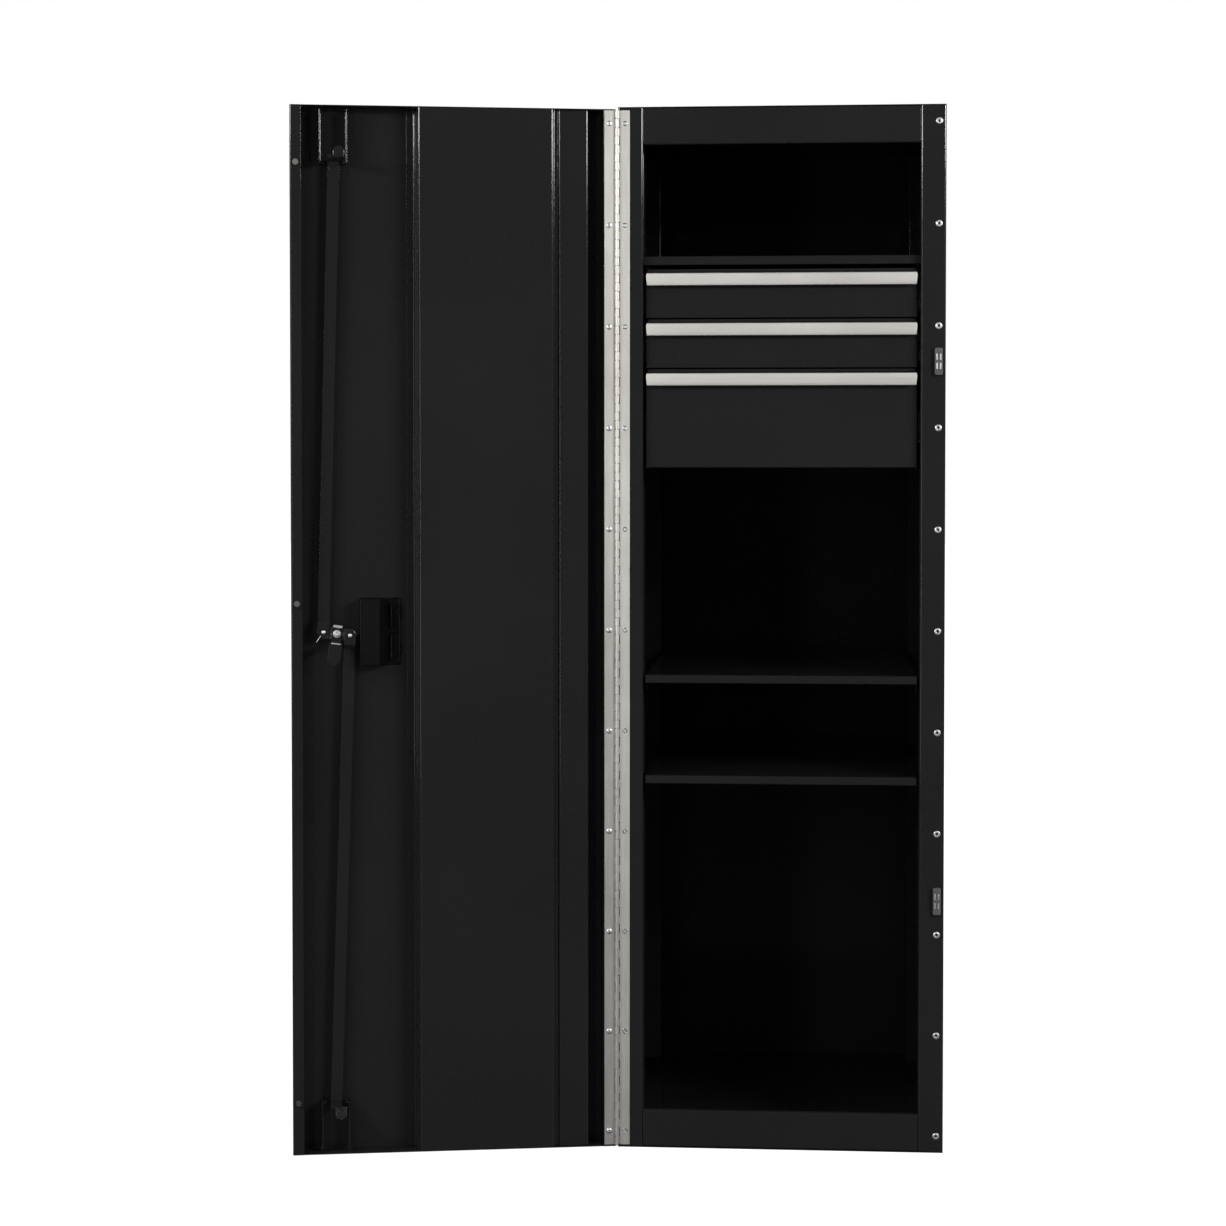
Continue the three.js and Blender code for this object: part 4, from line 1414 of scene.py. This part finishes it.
@dataclass
class PullCup(Assembly):
    """The moulded pocket of the recessed pull, deep towards the free edge.

    On its shallow side, seen from inside the door, two ribs lean on a web and a fence runs along
    its edge, with a framed hatch beside each rib.
    """

    far: float = 380
    deep: float = 351.3
    slope: float = 336
    near: float = 321.2
    middle: float = 773
    height: float = 98.4
    wall: float = 2
    overlap: float = 0.5
    bezel: float = 6
    bezel_back: float = -38.6
    bezel_corner: float = 4
    mouth_corner: float = 1
    floor: float = -10
    shallow: float = -34.5
    pad_inset: float = 1.5
    pad_sink: float = 0.2
    pad_rise: float = 0.3
    rib: float = 332.5
    rib_gauge: float = 1.8
    rib_rise: float = 9
    rib_length: float = 41
    rib_lean: float = 5
    web_half: float = 0.7
    web_drop: float = 3
    fence_gauge: float = 1.2
    fence_rise: float = 2
    fence_inset: float = 1
    hatch: Point = (324.5, 330.5)
    hatch_rise: float = 0.8
    hatch_frame: float = 0.9
    hatch_sink: float = 1.1
    snap_apart: float = 52
    snap_half: float = 7
    snap_reach: float = 3
    snap_root: float = 1
    snap_front: float = -36.8
    mark_pitch: float = 30.4
    mark_radius: float = 5

    def pocket(self) -> BMesh:
        """Makes the pocket's outer faces, open to the outside of the door.

        Returns:
            The faces, pointing out.
        """
        mouth = self.bezel_back - self.wall + self.overlap
        outline = [
            (self.far, mouth),
            (self.far, self.floor),
            (self.deep, self.floor),
            (self.slope, self.shallow),
            (self.near, self.shallow),
            (self.near, mouth),
        ]
        low = self.middle - self.height / 2
        shape = plate(outline, low, low + self.height, Plane.XY)
        lid = [f for f in shape.faces if f.normal.y < -FACING]
        bmesh.ops.delete(shape, geom=lid, context="FACES")
        return shape

    def frame(self, near: float, far: float, grow: float) -> list[Point]:
        """Draws a rectangle of about the pocket's height.

        Args:
            near: Its side towards the hinge.
            far: Its side towards the free edge.
            grow: How far it goes past the pocket's top and bottom.

        Returns:
            Its corners.
        """
        reach = self.height / 2 + grow
        return rectangle(near, far, self.middle - reach, self.middle + reach)

    def rim(self) -> BMesh:
        """Makes the bezel that covers the cut edge of the skin.

        Returns:
            The bezel's middle face.
        """
        level = self.bezel_back - self.wall / 2
        loops = []
        for grow, corner in ((self.bezel, self.bezel_corner), (-self.wall, self.mouth_corner)):
            outline = self.frame(self.near - grow, self.far + grow, grow)
            loops.append(flat(outline, level, Plane.XZ, [corner] * 4))
        shape = joined(loops)
        bmesh.ops.delete(shape, geom=shape.faces, context="FACES_ONLY")
        bmesh.ops.bridge_loops(shape, edges=shape.edges)
        return shape

    def back_face(self) -> BMesh:
        """Makes the grained pad on the back of the pocket.

        Returns:
            The pad.
        """
        inset = self.pad_inset
        outline = self.frame(self.deep + inset / 2, self.far - inset, -inset)
        low, high = self.floor - self.pad_sink, self.floor + self.pad_rise
        return plate(outline, low, high, Plane.XZ, [inset] * 4)

    def ribs(self) -> BMesh:
        """Makes the leaning ribs, the web between them, the fence and the framed hatches.

        Returns:
            What stands on the shallow side of the pocket.
        """
        foot, crest = self.shallow - self.overlap, self.shallow + self.rib_rise
        half, rim = self.web_half, self.height / 2 - self.fence_inset
        web_far = (self.rib, crest - self.web_drop, self.middle + half)
        fence_far = (self.near + self.fence_gauge, self.shallow + self.fence_rise)
        shapes = [
            block((self.near, foot, self.middle - half), web_far),
            block((self.near, foot, self.middle - rim), (*fence_far, self.middle + rim)),
        ]
        for side in (-1, 1):
            gap = self.rib_lean / 2
            start, end = (self.middle + side * z for z in (gap, gap + self.rib_length))
            lean = side * self.rib_lean
            outline = [(foot, start), (crest, start + lean), (crest, end - lean), (foot, end)]
            shapes.append(plate(outline, self.rib, self.rib + self.rib_gauge, Plane.YZ))
            sides = rectangle(*self.hatch, start, end)
            pane = plate(sides, foot, self.shallow + self.hatch_rise, Plane.XZ)
            lid = [f for f in pane.faces if f.normal.y > FACING]
            bmesh.ops.inset_region(pane, faces=lid, thickness=self.hatch_frame)
            bmesh.ops.translate(pane, verts=lid[0].verts, vec=(0, -self.hatch_sink, 0))
            shapes.append(pane)
        return joined(shapes)

    def details(self) -> BMesh:
        """Makes the snaps behind the skin and the ejector marks on the pocket's back.

        Returns:
            Snaps and marks.
        """
        shapes = []
        for side in (-1, 1):
            z = self.middle + side * self.snap_apart / 2
            near = (self.near - self.snap_reach, self.snap_front, z - self.snap_half)
            far = (self.near + self.snap_root, self.shallow, z + self.snap_half)
            shapes.append(block(near, far))
        u = (self.far + self.deep) / 2
        for i in (-1, 0, 1):
            z = self.middle + i * self.mark_pitch
            shapes.append(spot_weld(u, self.floor, z, self.mark_radius))
        return joined(shapes)

    def build(self) -> None:
        """Builds and fits the pull."""
        fit = partial(self.bench.fit, body="door", place=door_place())
        plastic = partial(fit, finish=BLACK_PLASTIC)
        shell = {"gauge": self.wall, "inward": True, "replaces": ["pull_cup"]}
        plastic("pull_pocket", self.pocket(), edge=0.6, **shell)
        plastic("pull_bezel", self.rim(), gauge=self.wall, edge=0.7)
        plastic("pull_snaps", self.details(), edge=0.3)
        plastic("pull_pocket_ribs", self.ribs(), edge=0.45)
        fit("pull_pocket_back", self.back_face(), finish=GRAINED_PLASTIC, edge=0.2)


@dataclass
class RodGuide(Assembly):
    """A channel near the end of the door whose notched lip guides a rod."""

    name: str
    lip: float
    end: float
    middle: float = 417.7
    width: float = 41.4
    back: float = -36.8
    depth: float = 25
    gauge: float = 1.5
    notch: float = 28
    notch_back: float = -30
    bend: float = 2
    lip_proud: float = 1
    lip_corner: float = 1.5
    notch_corner: float = 2

    def channel(self) -> BMesh:
        """Folds the guide's back and its two flanges.

        Returns:
            The sheet.
        """
        step = self.gauge / 2
        near, far = self.middle - self.width / 2 + step, self.middle + self.width / 2 - step
        front, back = self.back + self.depth, self.back + step
        line = [(near, front), (near, back), (far, back), (far, front)]
        return folded(line, [tuple(sorted((self.lip, self.end)))], self.bend)

    def lip_plate(self) -> BMesh:
        """Cuts the lip with its notch.

        Returns:
            The lip.
        """
        near, far = self.middle - self.width / 2, self.middle + self.width / 2
        front = self.back + self.depth + self.lip_proud
        left, right = self.middle - self.notch / 2, self.middle + self.notch / 2
        outline = [
            (near, self.back),
            (far, self.back),
            (far, front),
            (right, front),
            (right, self.notch_back),
            (left, self.notch_back),
            (left, front),
            (near, front),
        ]
        inward = math.copysign(self.gauge, self.end - self.lip)
        levels = sorted((self.lip, self.lip + inward))
        tips, notch = [self.lip_corner] * 2, [self.notch_corner] * 2
        return plate(outline, *levels, Plane.XY, [0, 0, *tips, *notch, *tips])

    def build(self) -> None:
        """Builds and fits the guide."""
        fit = partial(self.bench.fit, body="door", finish=COAT, place=door_place())
        sheet = {"gauge": self.gauge, "replaces": [self.name]}
        fit(f"{self.name}_channel", self.channel(), edge=0.5, **sheet)
        fit(f"{self.name}_lip", self.lip_plate(), edge=0.4)


@dataclass(frozen=True)
class Rod:
    """One of the latch's rods: which way it points and how high its guide, tip and crank lie."""

    name: str
    way: int
    lip: float
    tip: float
    crank: float
    tip_finish: Finish


RODS = (
    Rod("upper", way=1, lip=UPPER_LIP, tip=1484.5, crank=1467.5, tip_finish=COAT),
    Rod("lower", way=-1, lip=LOWER_LIP, tip=58, crank=77.535, tip_finish=ZINC),
)
# The bolt's section: radii, and heights above the saddle
BOLT_SECTION = (
    (5.8, 0), (5.8, 1), (4.2, 1), (4.2, 2.6), (3.5, 3.6), (2.1, 3.8), (1.8, 1.2), (0, 1.2),
)
# The spring clip's outline beside the upper rod's pivot
CLIP_OUTLINE = ((22.8, -6), (23.7, -5.6), (26.2, -11), (28.6, -15.6), (28, -16), (25.2, -11.8))


@dataclass
class Latch(Assembly):
    """The three-point latch: cam, tongue, rods, and the keyed T-handle that turns them.

    A brim or dome rounds an edge in steps out from its radius and on from its face.
    """

    u: float = 414.3
    z: float = 771
    tilt: float = 7.5
    arm: float = 19.6
    arm_half: float = 9
    stock: float = 3
    cam_back: float = -21
    rod_end: float = -17.7
    rod_run: float = -25
    rod_width: float = 17
    rod_line: float = 417
    rod_bend: float = 3
    joggle: Point = (13, 20)
    hook: float = 16
    tip_width: float = 16.5
    tip_shift: float = -7
    tip_corner: float = 1
    saddle_half: float = 12.5
    saddle_width: float = 15
    saddle_gauge: float = 2.4
    saddle_bend: float = 2
    riser_inset: float = 0.6
    ear_reach: float = 8
    ear_bar: float = 2.1
    foot_bar: float = 1.3
    bar_inset: float = 0.6
    bar_sink: float = 0.3
    bar_rise: float = 1.8
    bar_round: float = 0.9
    clip_gauge: float = 1.6
    tongue_half: float = 9.5
    tongue_end: float = -34.5
    tongue_root: float = 1.8
    tongue_corner: float = 2
    rivet: float = 2.9
    rivet_shank: float = 2.3
    rivet_sink: float = 1
    rivet_dome: tuple[Point, ...] = ((0, 0), (0, 0.7), (-0.8, 1.3))
    rivet_height: float = 1.4
    hub_face: float = -64.6
    hub_back: float = -43.9
    hub: float = 13
    hub_mouth: tuple[Point, ...] = ((0, 8), (0, 0.5), (0.6, 0))
    hub_brim: tuple[Point, ...] = ((-3.5, 0), (-2, 1.2))
    grip: float = 96
    grip_half: float = 6.5
    grip_taper: float = 1
    grip_corner: float = 5
    grip_root: float = 2
    grip_front: float = 2
    grip_back: float = 7
    spindle: float = 6
    plug: float = 5.2
    plug_depth: float = 7
    plug_proud: float = 0.6
    key_half: Spot = (3.6, 0.1, 0.7)
    key_depth: float = 4
    escutcheon: float = 23
    rose_height: float = 5
    rose_brim: tuple[Point, ...] = ((-5, 0), (-1.5, 1.6))
    rose_edge: float = 1.2
    sleeve_wall: float = 2.5
    sleeve_depth: float = 6.5
    skin: float = -38.6

    def place(self) -> Matrix:
        """Where the parts that turn with the handle stand."""
        axis = Matrix.Translation((self.u * MM, 0, self.z * MM))
        return door_place() @ axis @ Matrix.Rotation(-math.radians(self.tilt), 4, "Y")

    def cam(self) -> BMesh:
        """Cuts the cam bar with its round ends.

        Returns:
            The bar.
        """
        reach, half = self.arm + self.arm_half, self.arm_half
        outline = rectangle(-reach, reach, -half, half)
        back = self.cam_back
        return plate(outline, back, back + self.stock, Plane.XZ, [half] * 4)

    def rivets(self) -> BMesh:
        """Turns the two pivot rivets.

        Returns:
            The rivets.
        """
        seat = self.rod_end + self.stock + SEAM
        profile = [
            (self.rivet_shank, self.cam_back + self.rivet_sink),
            (self.rivet_shank, seat),
            *((self.rivet + out, seat + rise) for out, rise in self.rivet_dome),
            (0, seat + self.rivet_height),
        ]
        return joined(turned(profile, x) for x in (-self.arm, self.arm))

    def bolt(self) -> BMesh:
        """Turns the bolt and washer in the middle of the cam."""
        seat = self.rod_end + self.saddle_gauge + SEAM
        return turned([(radius, seat + rise) for radius, rise in BOLT_SECTION])

    def saddle(self) -> BMesh:
        """Folds the tongue's saddle with its ear and riser.

        Returns:
            The sheet.
        """
        level = self.rod_end + self.saddle_gauge / 2
        ear = self.saddle_half - self.saddle_gauge / 2
        riser = -self.saddle_half + self.riser_inset
        top = self.hook + self.stock
        line = [(self.rod_end + self.ear_reach, ear), (level, ear), (level, riser), (top, riser)]
        half = self.saddle_width / 2
        return folded(line, [(-half, half)], self.saddle_bend, Plane.YZ)

    def highlight_bars(self) -> BMesh:
        """Makes the pale rounded bars along the saddle's ear and the foot of the tongue, which paint the
        highlights of those bends.

        Returns:
            Both bars.
        """
        half = self.saddle_width / 2 - self.bar_inset
        ear = self.saddle_half - self.saddle_gauge / 2
        ends = (
            (self.rod_end + self.ear_reach, ear, self.ear_bar),
            (self.hook + self.stock, -self.saddle_half, self.foot_bar),
        )
        highlight_bars = []
        for level, z, reach in ends:
            outline = rectangle(-half, half, z - reach, z + reach)
            corners = [reach * self.bar_round] * 4
            low, high = level - self.bar_sink, level + self.bar_rise
            highlight_bars.append(plate(outline, low, high, Plane.XZ, corners))
        return joined(highlight_bars)

    def clip(self) -> BMesh:
        """Cuts the spring clip that hangs from the free pivot, as a flat plate."""
        level = self.rod_end + self.stock
        return plate(CLIP_OUTLINE, level, level + self.clip_gauge, Plane.XZ)

    def tongue(self) -> BMesh:
        """Cuts the tongue's blade with its round end.

        Returns:
            The blade.
        """
        half = self.tongue_half
        foot, end = -self.saddle_half + self.tongue_root, self.tongue_end - half
        corners = [half, half, self.tongue_corner, self.tongue_corner]
        outline = rectangle(-half, half, end, foot)
        return plate(outline, self.hook, self.hook + self.stock, Plane.XZ, corners)

    def handle(self) -> BMesh:
        """Makes the T-handle: a turned hub and spindle and a rounded grip.

        Returns:
            The handle.
        """
        back = self.cam_back - SEAM
        hole = self.plug + SEAM
        profile = [
            *((hole + out, self.hub_face + on) for out, on in self.hub_mouth),
            *((self.hub + out, self.hub_face + on) for out, on in self.hub_brim),
            (self.hub, self.hub_back),
            (self.spindle, self.hub_back),
            (self.spindle, back),
            (0, back),
        ]
        shapes = [turned(profile)]
        half, tip = self.grip_half, self.grip_half - self.grip_taper
        corners = [0, self.grip_corner, self.grip_corner, 0]
        front, rear = self.hub_face + self.grip_front, self.hub_back - self.grip_back
        for side in (-1, 1):
            inner, outer = side * (self.plug + self.grip_root), side * self.grip / 2
            outline = [(inner, -half), (outer, -tip), (outer, tip), (inner, half)]
            if side < 0:
                outline.reverse()
            shapes.append(plate(outline, front, rear, Plane.XZ, corners))
        return joined(shapes)

    def lock(self) -> BMesh:
        """Turns the lock plug and sinks its key slot.

        Returns:
            The plug.
        """
        face = self.hub_face - self.plug_proud
        shape = turned(
            [(self.plug, self.hub_face + self.plug_depth), (self.plug, face), (0, face)]
        )
        middle, reach = Vector((0, face, 0)), Vector(self.key_half)
        slot = window(shape, middle - reach, middle + reach)
        sunk = bmesh.ops.extrude_face_region(shape, geom=slot)["geom"]
        bmesh.ops.delete(shape, geom=slot, context="FACES")
        bmesh.ops.translate(shape, verts=verts_of(sunk), vec=(0, self.key_depth, 0))
        return shape

    def rose(self) -> BMesh:
        """Turns the escutcheon and the sleeve that bears the spindle.

        Returns:
            The escutcheon.
        """
        face = self.skin - self.rose_height
        bore, sleeve = self.spindle + SEAM, self.spindle + self.sleeve_wall
        end = self.skin + self.sleeve_depth
        profile = [
            (bore, end),
            (bore, face),
            *((self.escutcheon + out, face + on) for out, on in self.rose_brim),
            (self.escutcheon, self.skin - self.rose_edge),
            (self.escutcheon, self.skin),
            (sleeve, self.skin),
            (sleeve, end),
            (bore, end),
        ]
        return turned(profile, self.u, self.z)

    def rod_place(self, rod: Rod) -> tuple[Matrix, float, float]:
        """Works out how a rod leans from its pivot to its guide.

        Args:
            rod: The rod.

        Returns:
            The place of the rod's frame, the height of its pivot and how much its lean stretches
            heights along it.
        """
        tilt = math.radians(self.tilt)
        u = self.u + rod.way * self.arm * math.cos(tilt)
        z = self.z + rod.way * self.arm * math.sin(tilt)
        lean = math.atan2(rod.way * (u - self.rod_line), abs(rod.lip - z))
        place = door_place() @ Matrix.Translation((u * MM, 0, z * MM))
        return place @ Matrix.Rotation(-lean, 4, "Y"), z, 1 / math.cos(lean)

    def rod_shapes(self, way: int, tip: float, crank: float) -> tuple[BMesh, BMesh]:
        """Folds a rod, rounds its end at the pivot and cuts its tip.

        Args:
            way: 1 for the upper rod and -1 for the lower one.
            tip: How far the tip lies from the pivot.
            crank: How far the crank lies from the pivot.

        Returns:
            The folded strip and the tip.
        """
        half = self.rod_width / 2
        end = self.rod_end + self.stock / 2
        level = way * (crank + self.stock / 2)
        line = [
            (end, -way * half),
            (end, way * self.joggle[0]),
            (self.rod_run, way * self.joggle[1]),
            (self.rod_run, level),
            (self.hook + self.stock, level),
        ]
        strip = folded(line, [(-half, half)], self.rod_bend, Plane.YZ)
        bmesh.ops.bevel(
            strip,
            geom=[v for v in strip.verts if abs(v.co.z + way * half) < CLOSE],
            offset=half - CLOSE,
            affect="VERTICES",
            segments=2 * BEND_STEPS,
            profile=0.5,
            material=-1,
        )
        tip_half = self.tip_width / 2
        left, right = self.tip_shift - tip_half, self.tip_shift + tip_half
        outline = rectangle(left, right, way * crank, way * tip)
        corners = [self.tip_corner, self.tip_corner, tip_half, tip_half]
        blade = plate(outline, self.hook, self.hook + self.stock, Plane.XZ, corners)
        return strip, blade

    def build_rods(self) -> None:
        """Builds and fits both rods."""
        for rod in RODS:
            place, z, stretch = self.rod_place(rod)
            tip, crank = (abs(height - z) * stretch for height in (rod.tip, rod.crank))
            strip, blade = self.rod_shapes(rod.way, tip, crank)
            fit = partial(self.bench.fit, body=f"rod_{rod.name}", place=place)
            name = f"latch_rod_{rod.name}"
            sheet = {"gauge": self.stock, "replaces": [name]}
            fit(f"{name}_strip", strip, finish=COAT, edge=0.5, **sheet)
            fit(f"{name}_tip", blade, finish=rod.tip_finish, edge=0.8)

    def build(self) -> None:
        """Builds and fits the whole latch."""
        fit = partial(self.bench.fit, place=self.place())
        fit("latch_cam_bar", self.cam(), "latch", ZINC, edge=0.5, replaces=["latch_cam"])
        fit("latch_pivot_rivets", self.rivets(), "latch", DULL_ZINC, edge=0.1)
        fit("latch_bolt", self.bolt(), "latch", DULL_ZINC, edge=0.2, replaces=["latch_screw"])
        gauge = self.saddle_gauge
        fit("latch_tongue_saddle", self.saddle(), "latch", COAT, gauge=gauge, edge=0.5)
        # Pale zinc bars at the saddle's ear and the tongue's foot: painted highlights on those bends
        fit("latch_saddle_highlight_bars", self.highlight_bars(), "latch", DULL_ZINC, edge=0.9)
        fit("latch_spring_clip", self.clip(), "rod_upper", DULL_ZINC, edge=0.5)
        tongue = self.tongue()
        fit("latch_tongue_blade", tongue, "latch", COAT, edge=0.5, replaces=["latch_tongue"])
        handle = self.handle()
        fit("latch_t_handle", handle, "latch", CHROME, edge=1.5, replaces=["latch_handle"])
        fit("lock_plug_face", self.lock(), "lock", CHROME, edge=0.2, replaces=["lock_plug"])
        fit = partial(self.bench.fit, place=door_place())
        fit("latch_rose", self.rose(), "door", CHROME, edge=0.3, replaces=["latch_escutcheon"])
        self.build_rods()


# Studio


WHITE = "#ffffff"


@dataclass(frozen=True)
class SoftBox:
    """A rectangular lamp in metres and watts, which gloss mirrors or doesn't."""

    name: str
    place: Spot
    aim: Spot
    size: Point
    watts: float
    mirrored: bool = True

    def hang(self) -> None:
        """Hangs the lamp so that it faces its aim."""
        lamp = bpy.data.lights.new(self.name, "AREA")
        lamp.shape = "RECTANGLE"
        lamp.size, lamp.size_y = self.size
        lamp.energy = self.watts
        hung = bpy.data.objects.new(self.name, lamp)
        hung.location = self.place
        hung.rotation_mode = "QUATERNION"
        facing = Vector(self.aim) - Vector(self.place)
        hung.rotation_quaternion = facing.to_track_quat("-Z", "Y")
        hung.visible_camera = False
        hung.visible_glossy = self.mirrored
        bpy.context.scene.collection.objects.link(hung)


SOFT_BOXES = (
    SoftBox("left_box", (-2.4, -2.2, 1.97), (-0.2, -0.3, 1.5), (1.2, 0.3), 46),
    SoftBox("right_box", (2.2, -2.2, 1.97), (-0.2, -0.3, 1.5), (1.2, 0.3), 64),
    SoftBox("left_strip", (-1.6, -4.0, 1.2), (-0.2, -0.3, 0.9), (0.35, 2.2), 25),
    SoftBox("right_fill", (3.0, -3.2, 1.3), (-0.2, -0.3, 0.8), (1.2, 2.0), 48, mirrored=False),
)


@dataclass
class Studio:
    """Camera, soft boxes, a white surround and a pale floor. Metres.

    The floor is seen white from floor_reach on. The card is paler from card_reach to its end and
    from the front to the back of card_rear.
    """

    eye: Spot = (0.0388, -4.1175, 1.0162)
    yaw: float = 4.33
    pitch: float = -1.73
    lens: float = 75.3
    sensor: float = 36
    shift: float = -68 / 1226
    clip_end: float = 200
    surround: float = 0.52
    floor_size: float = 60
    floor_lit: str = "#b4b4b4"
    floor_seen: str = "#9c9c9c"
    floor_reach: Point = (0.7, 2.0)
    floor_glow: Point = (0.84, 1.0)
    card_size: Spot = (7.0, 14.0, 4.6)
    card_lift: float = 0.0005
    card_tone: str = "#101010"
    card_reach: Point = (1.0, 7.0)
    card_rear: Point = (-0.3, 1.7)
    card_glow: float = 0.6

    def camera(self) -> None:
        """Sets the camera where the photograph was taken."""
        data = bpy.data.cameras.new("camera")
        data.lens = self.lens
        data.sensor_width = self.sensor
        data.shift_y = self.shift
        data.clip_end = self.clip_end
        camera = bpy.data.objects.new("camera", data)
        camera.location = self.eye
        tip = math.radians(90 + self.pitch)
        camera.rotation_euler = (tip, 0, math.radians(self.yaw))
        bpy.context.scene.collection.objects.link(camera)
        bpy.context.scene.camera = camera

    def white_seen(self, tree: bpy.types.NodeTree) -> bpy.types.NodeSocket:
        """Tells the rays that look at the background from those that light the object.

        Args:
            tree: The node tree of the floor or the surround.

        Returns:
            1 for camera, glossy and transmission rays and 0 for the others.
        """
        path = add_node(tree, "ShaderNodeLightPath", {}, {}).outputs
        seen = path["Is Camera Ray"]
        for name in ("Is Glossy Ray", "Is Transmission Ray"):
            both = {0: seen, 1: path[name]}
            seen = add_node(tree, "ShaderNodeMath", {"operation": "MAXIMUM"}, both).outputs[0]
        return seen

    def world(self) -> None:
        """Makes a surround that is seen white and lights the object softly."""
        world = bpy.data.worlds.new("surround")
        tree = emptied(world)
        soft, white = (
            add_node(tree, "ShaderNodeBackground", {"Color": linear(WHITE), "Strength": s}, {})
            for s in (self.surround, 1.0)
        )
        both = {0: self.white_seen(tree), 1: soft.outputs[0], 2: white.outputs[0]}
        mixed = add_node(tree, "ShaderNodeMixShader", {}, both)
        add_node(tree, "ShaderNodeOutputWorld", {}, {"Surface": mixed.outputs[0]})
        bpy.context.scene.world = world

    def floor(self) -> None:
        """Lays a pale floor that keeps the shadow."""
        shape = bmesh.new()
        bmesh.ops.create_grid(shape, x_segments=1, y_segments=1, size=self.floor_size / 2)
        made = bpy.data.materials.new("pale_floor")
        tree = emptied(made)
        dim = add_node(tree, "ShaderNodeBsdfDiffuse", {"Color": linear(self.floor_lit)}, {})
        matt = add_node(tree, "ShaderNodeBsdfDiffuse", {"Color": linear(self.floor_seen)}, {})
        place = add_node(tree, "ShaderNodeTexCoord", {}, {}).outputs["Object"]
        away = add_node(tree, "ShaderNodeVectorMath", {"operation": "LENGTH"}, {0: place})
        share = ramp(tree, away.outputs["Value"], self.floor_reach, self.floor_glow)
        glow = {"Strength": share}
        white = add_node(tree, "ShaderNodeEmission", {"Color": linear(WHITE)}, glow)
        layers = {0: matt.outputs[0], 1: white.outputs[0]}
        pale = add_node(tree, "ShaderNodeAddShader", {}, layers)
        both = {0: self.white_seen(tree), 1: dim.outputs[0], 2: pale.outputs[0]}
        mixed = add_node(tree, "ShaderNodeMixShader", {}, both)
        add_node(tree, "ShaderNodeOutputMaterial", {}, {"Surface": mixed.outputs[0]})
        floor = linked("floor", shape, made)

    def dark_card(self) -> None:
        """Sets dark card round the locker, black in front of it and paler far behind.

        Gloss sees the card in place of the white surround, so that black stays black. Behind
        the front it fades up with the distance, which gives the sides, top and back some form.
        """
        shape = bmesh.new()
        bmesh.ops.create_cube(shape, size=1.0)
        bmesh.ops.scale(shape, verts=shape.verts, vec=self.card_size)
        lift = (0, 0, self.card_size[2] / 2 + self.card_lift)
        bmesh.ops.translate(shape, verts=shape.verts, vec=lift)
        bmesh.ops.reverse_faces(shape, faces=shape.faces)
        made = bpy.data.materials.new("dark_card")
        made.use_nodes = True
        tree = made.node_tree
        paint = tree.nodes["Principled BSDF"].inputs
        paint["Base Color"].default_value = linear(self.card_tone)
        paint["Emission Color"].default_value = linear(WHITE)
        place = add_node(tree, "ShaderNodeTexCoord", {}, {}).outputs["Object"]
        away = add_node(tree, "ShaderNodeVectorMath", {"operation": "LENGTH"}, {0: place})
        depth = add_node(tree, "ShaderNodeSeparateXYZ", {}, {"Vector": place})
        far = ramp(tree, away.outputs["Value"], self.card_reach, (0.0, self.card_glow))
        behind = ramp(tree, depth.outputs["Y"], self.card_rear, (0.0, 1.0))
        both = {0: far, 1: behind}
        glow = add_node(tree, "ShaderNodeMath", {"operation": "MULTIPLY"}, both)
        tree.links.new(glow.outputs[0], paint["Emission Strength"])
        card = linked("dark_card", shape, made)
        card.visible_camera = False
        card.visible_diffuse = False
        card.visible_shadow = False
        card.visible_transmission = False

    def build(self) -> None:
        """Sets up the whole studio."""
        bpy.context.scene.view_settings.view_transform = "Standard"
        self.camera()
        self.world()
        self.floor()
        self.dark_card()
        for lamp in SOFT_BOXES:
            lamp.hang()


def main() -> None:
    """Builds the locker piece by piece, then the studio."""
    logging.basicConfig(level=logging.INFO, format="%(name)s: %(message)s")
    bench = Bench()
    bench.dress_nodes()
    assemblies = [
        Carcass(bench),
        StileHardware(bench),
        Shelving(bench),
        Drawer(bench, "drawer_top", wall_height=50),
        Drawer(bench, "drawer_middle", wall_height=50),
        Drawer(bench, "drawer_bottom", wall_height=112),
        Hinge(bench),
        Door(bench),
        PullCup(bench),
        RodGuide(bench, "rod_guide_top", lip=UPPER_LIP, end=1541),
        RodGuide(bench, "rod_guide_bottom", lip=LOWER_LIP, end=6),
        Latch(bench),
    ]
    for assembly in assemblies:
        assembly.build()
    Studio().build()


if __name__ == "__main__":
    main()
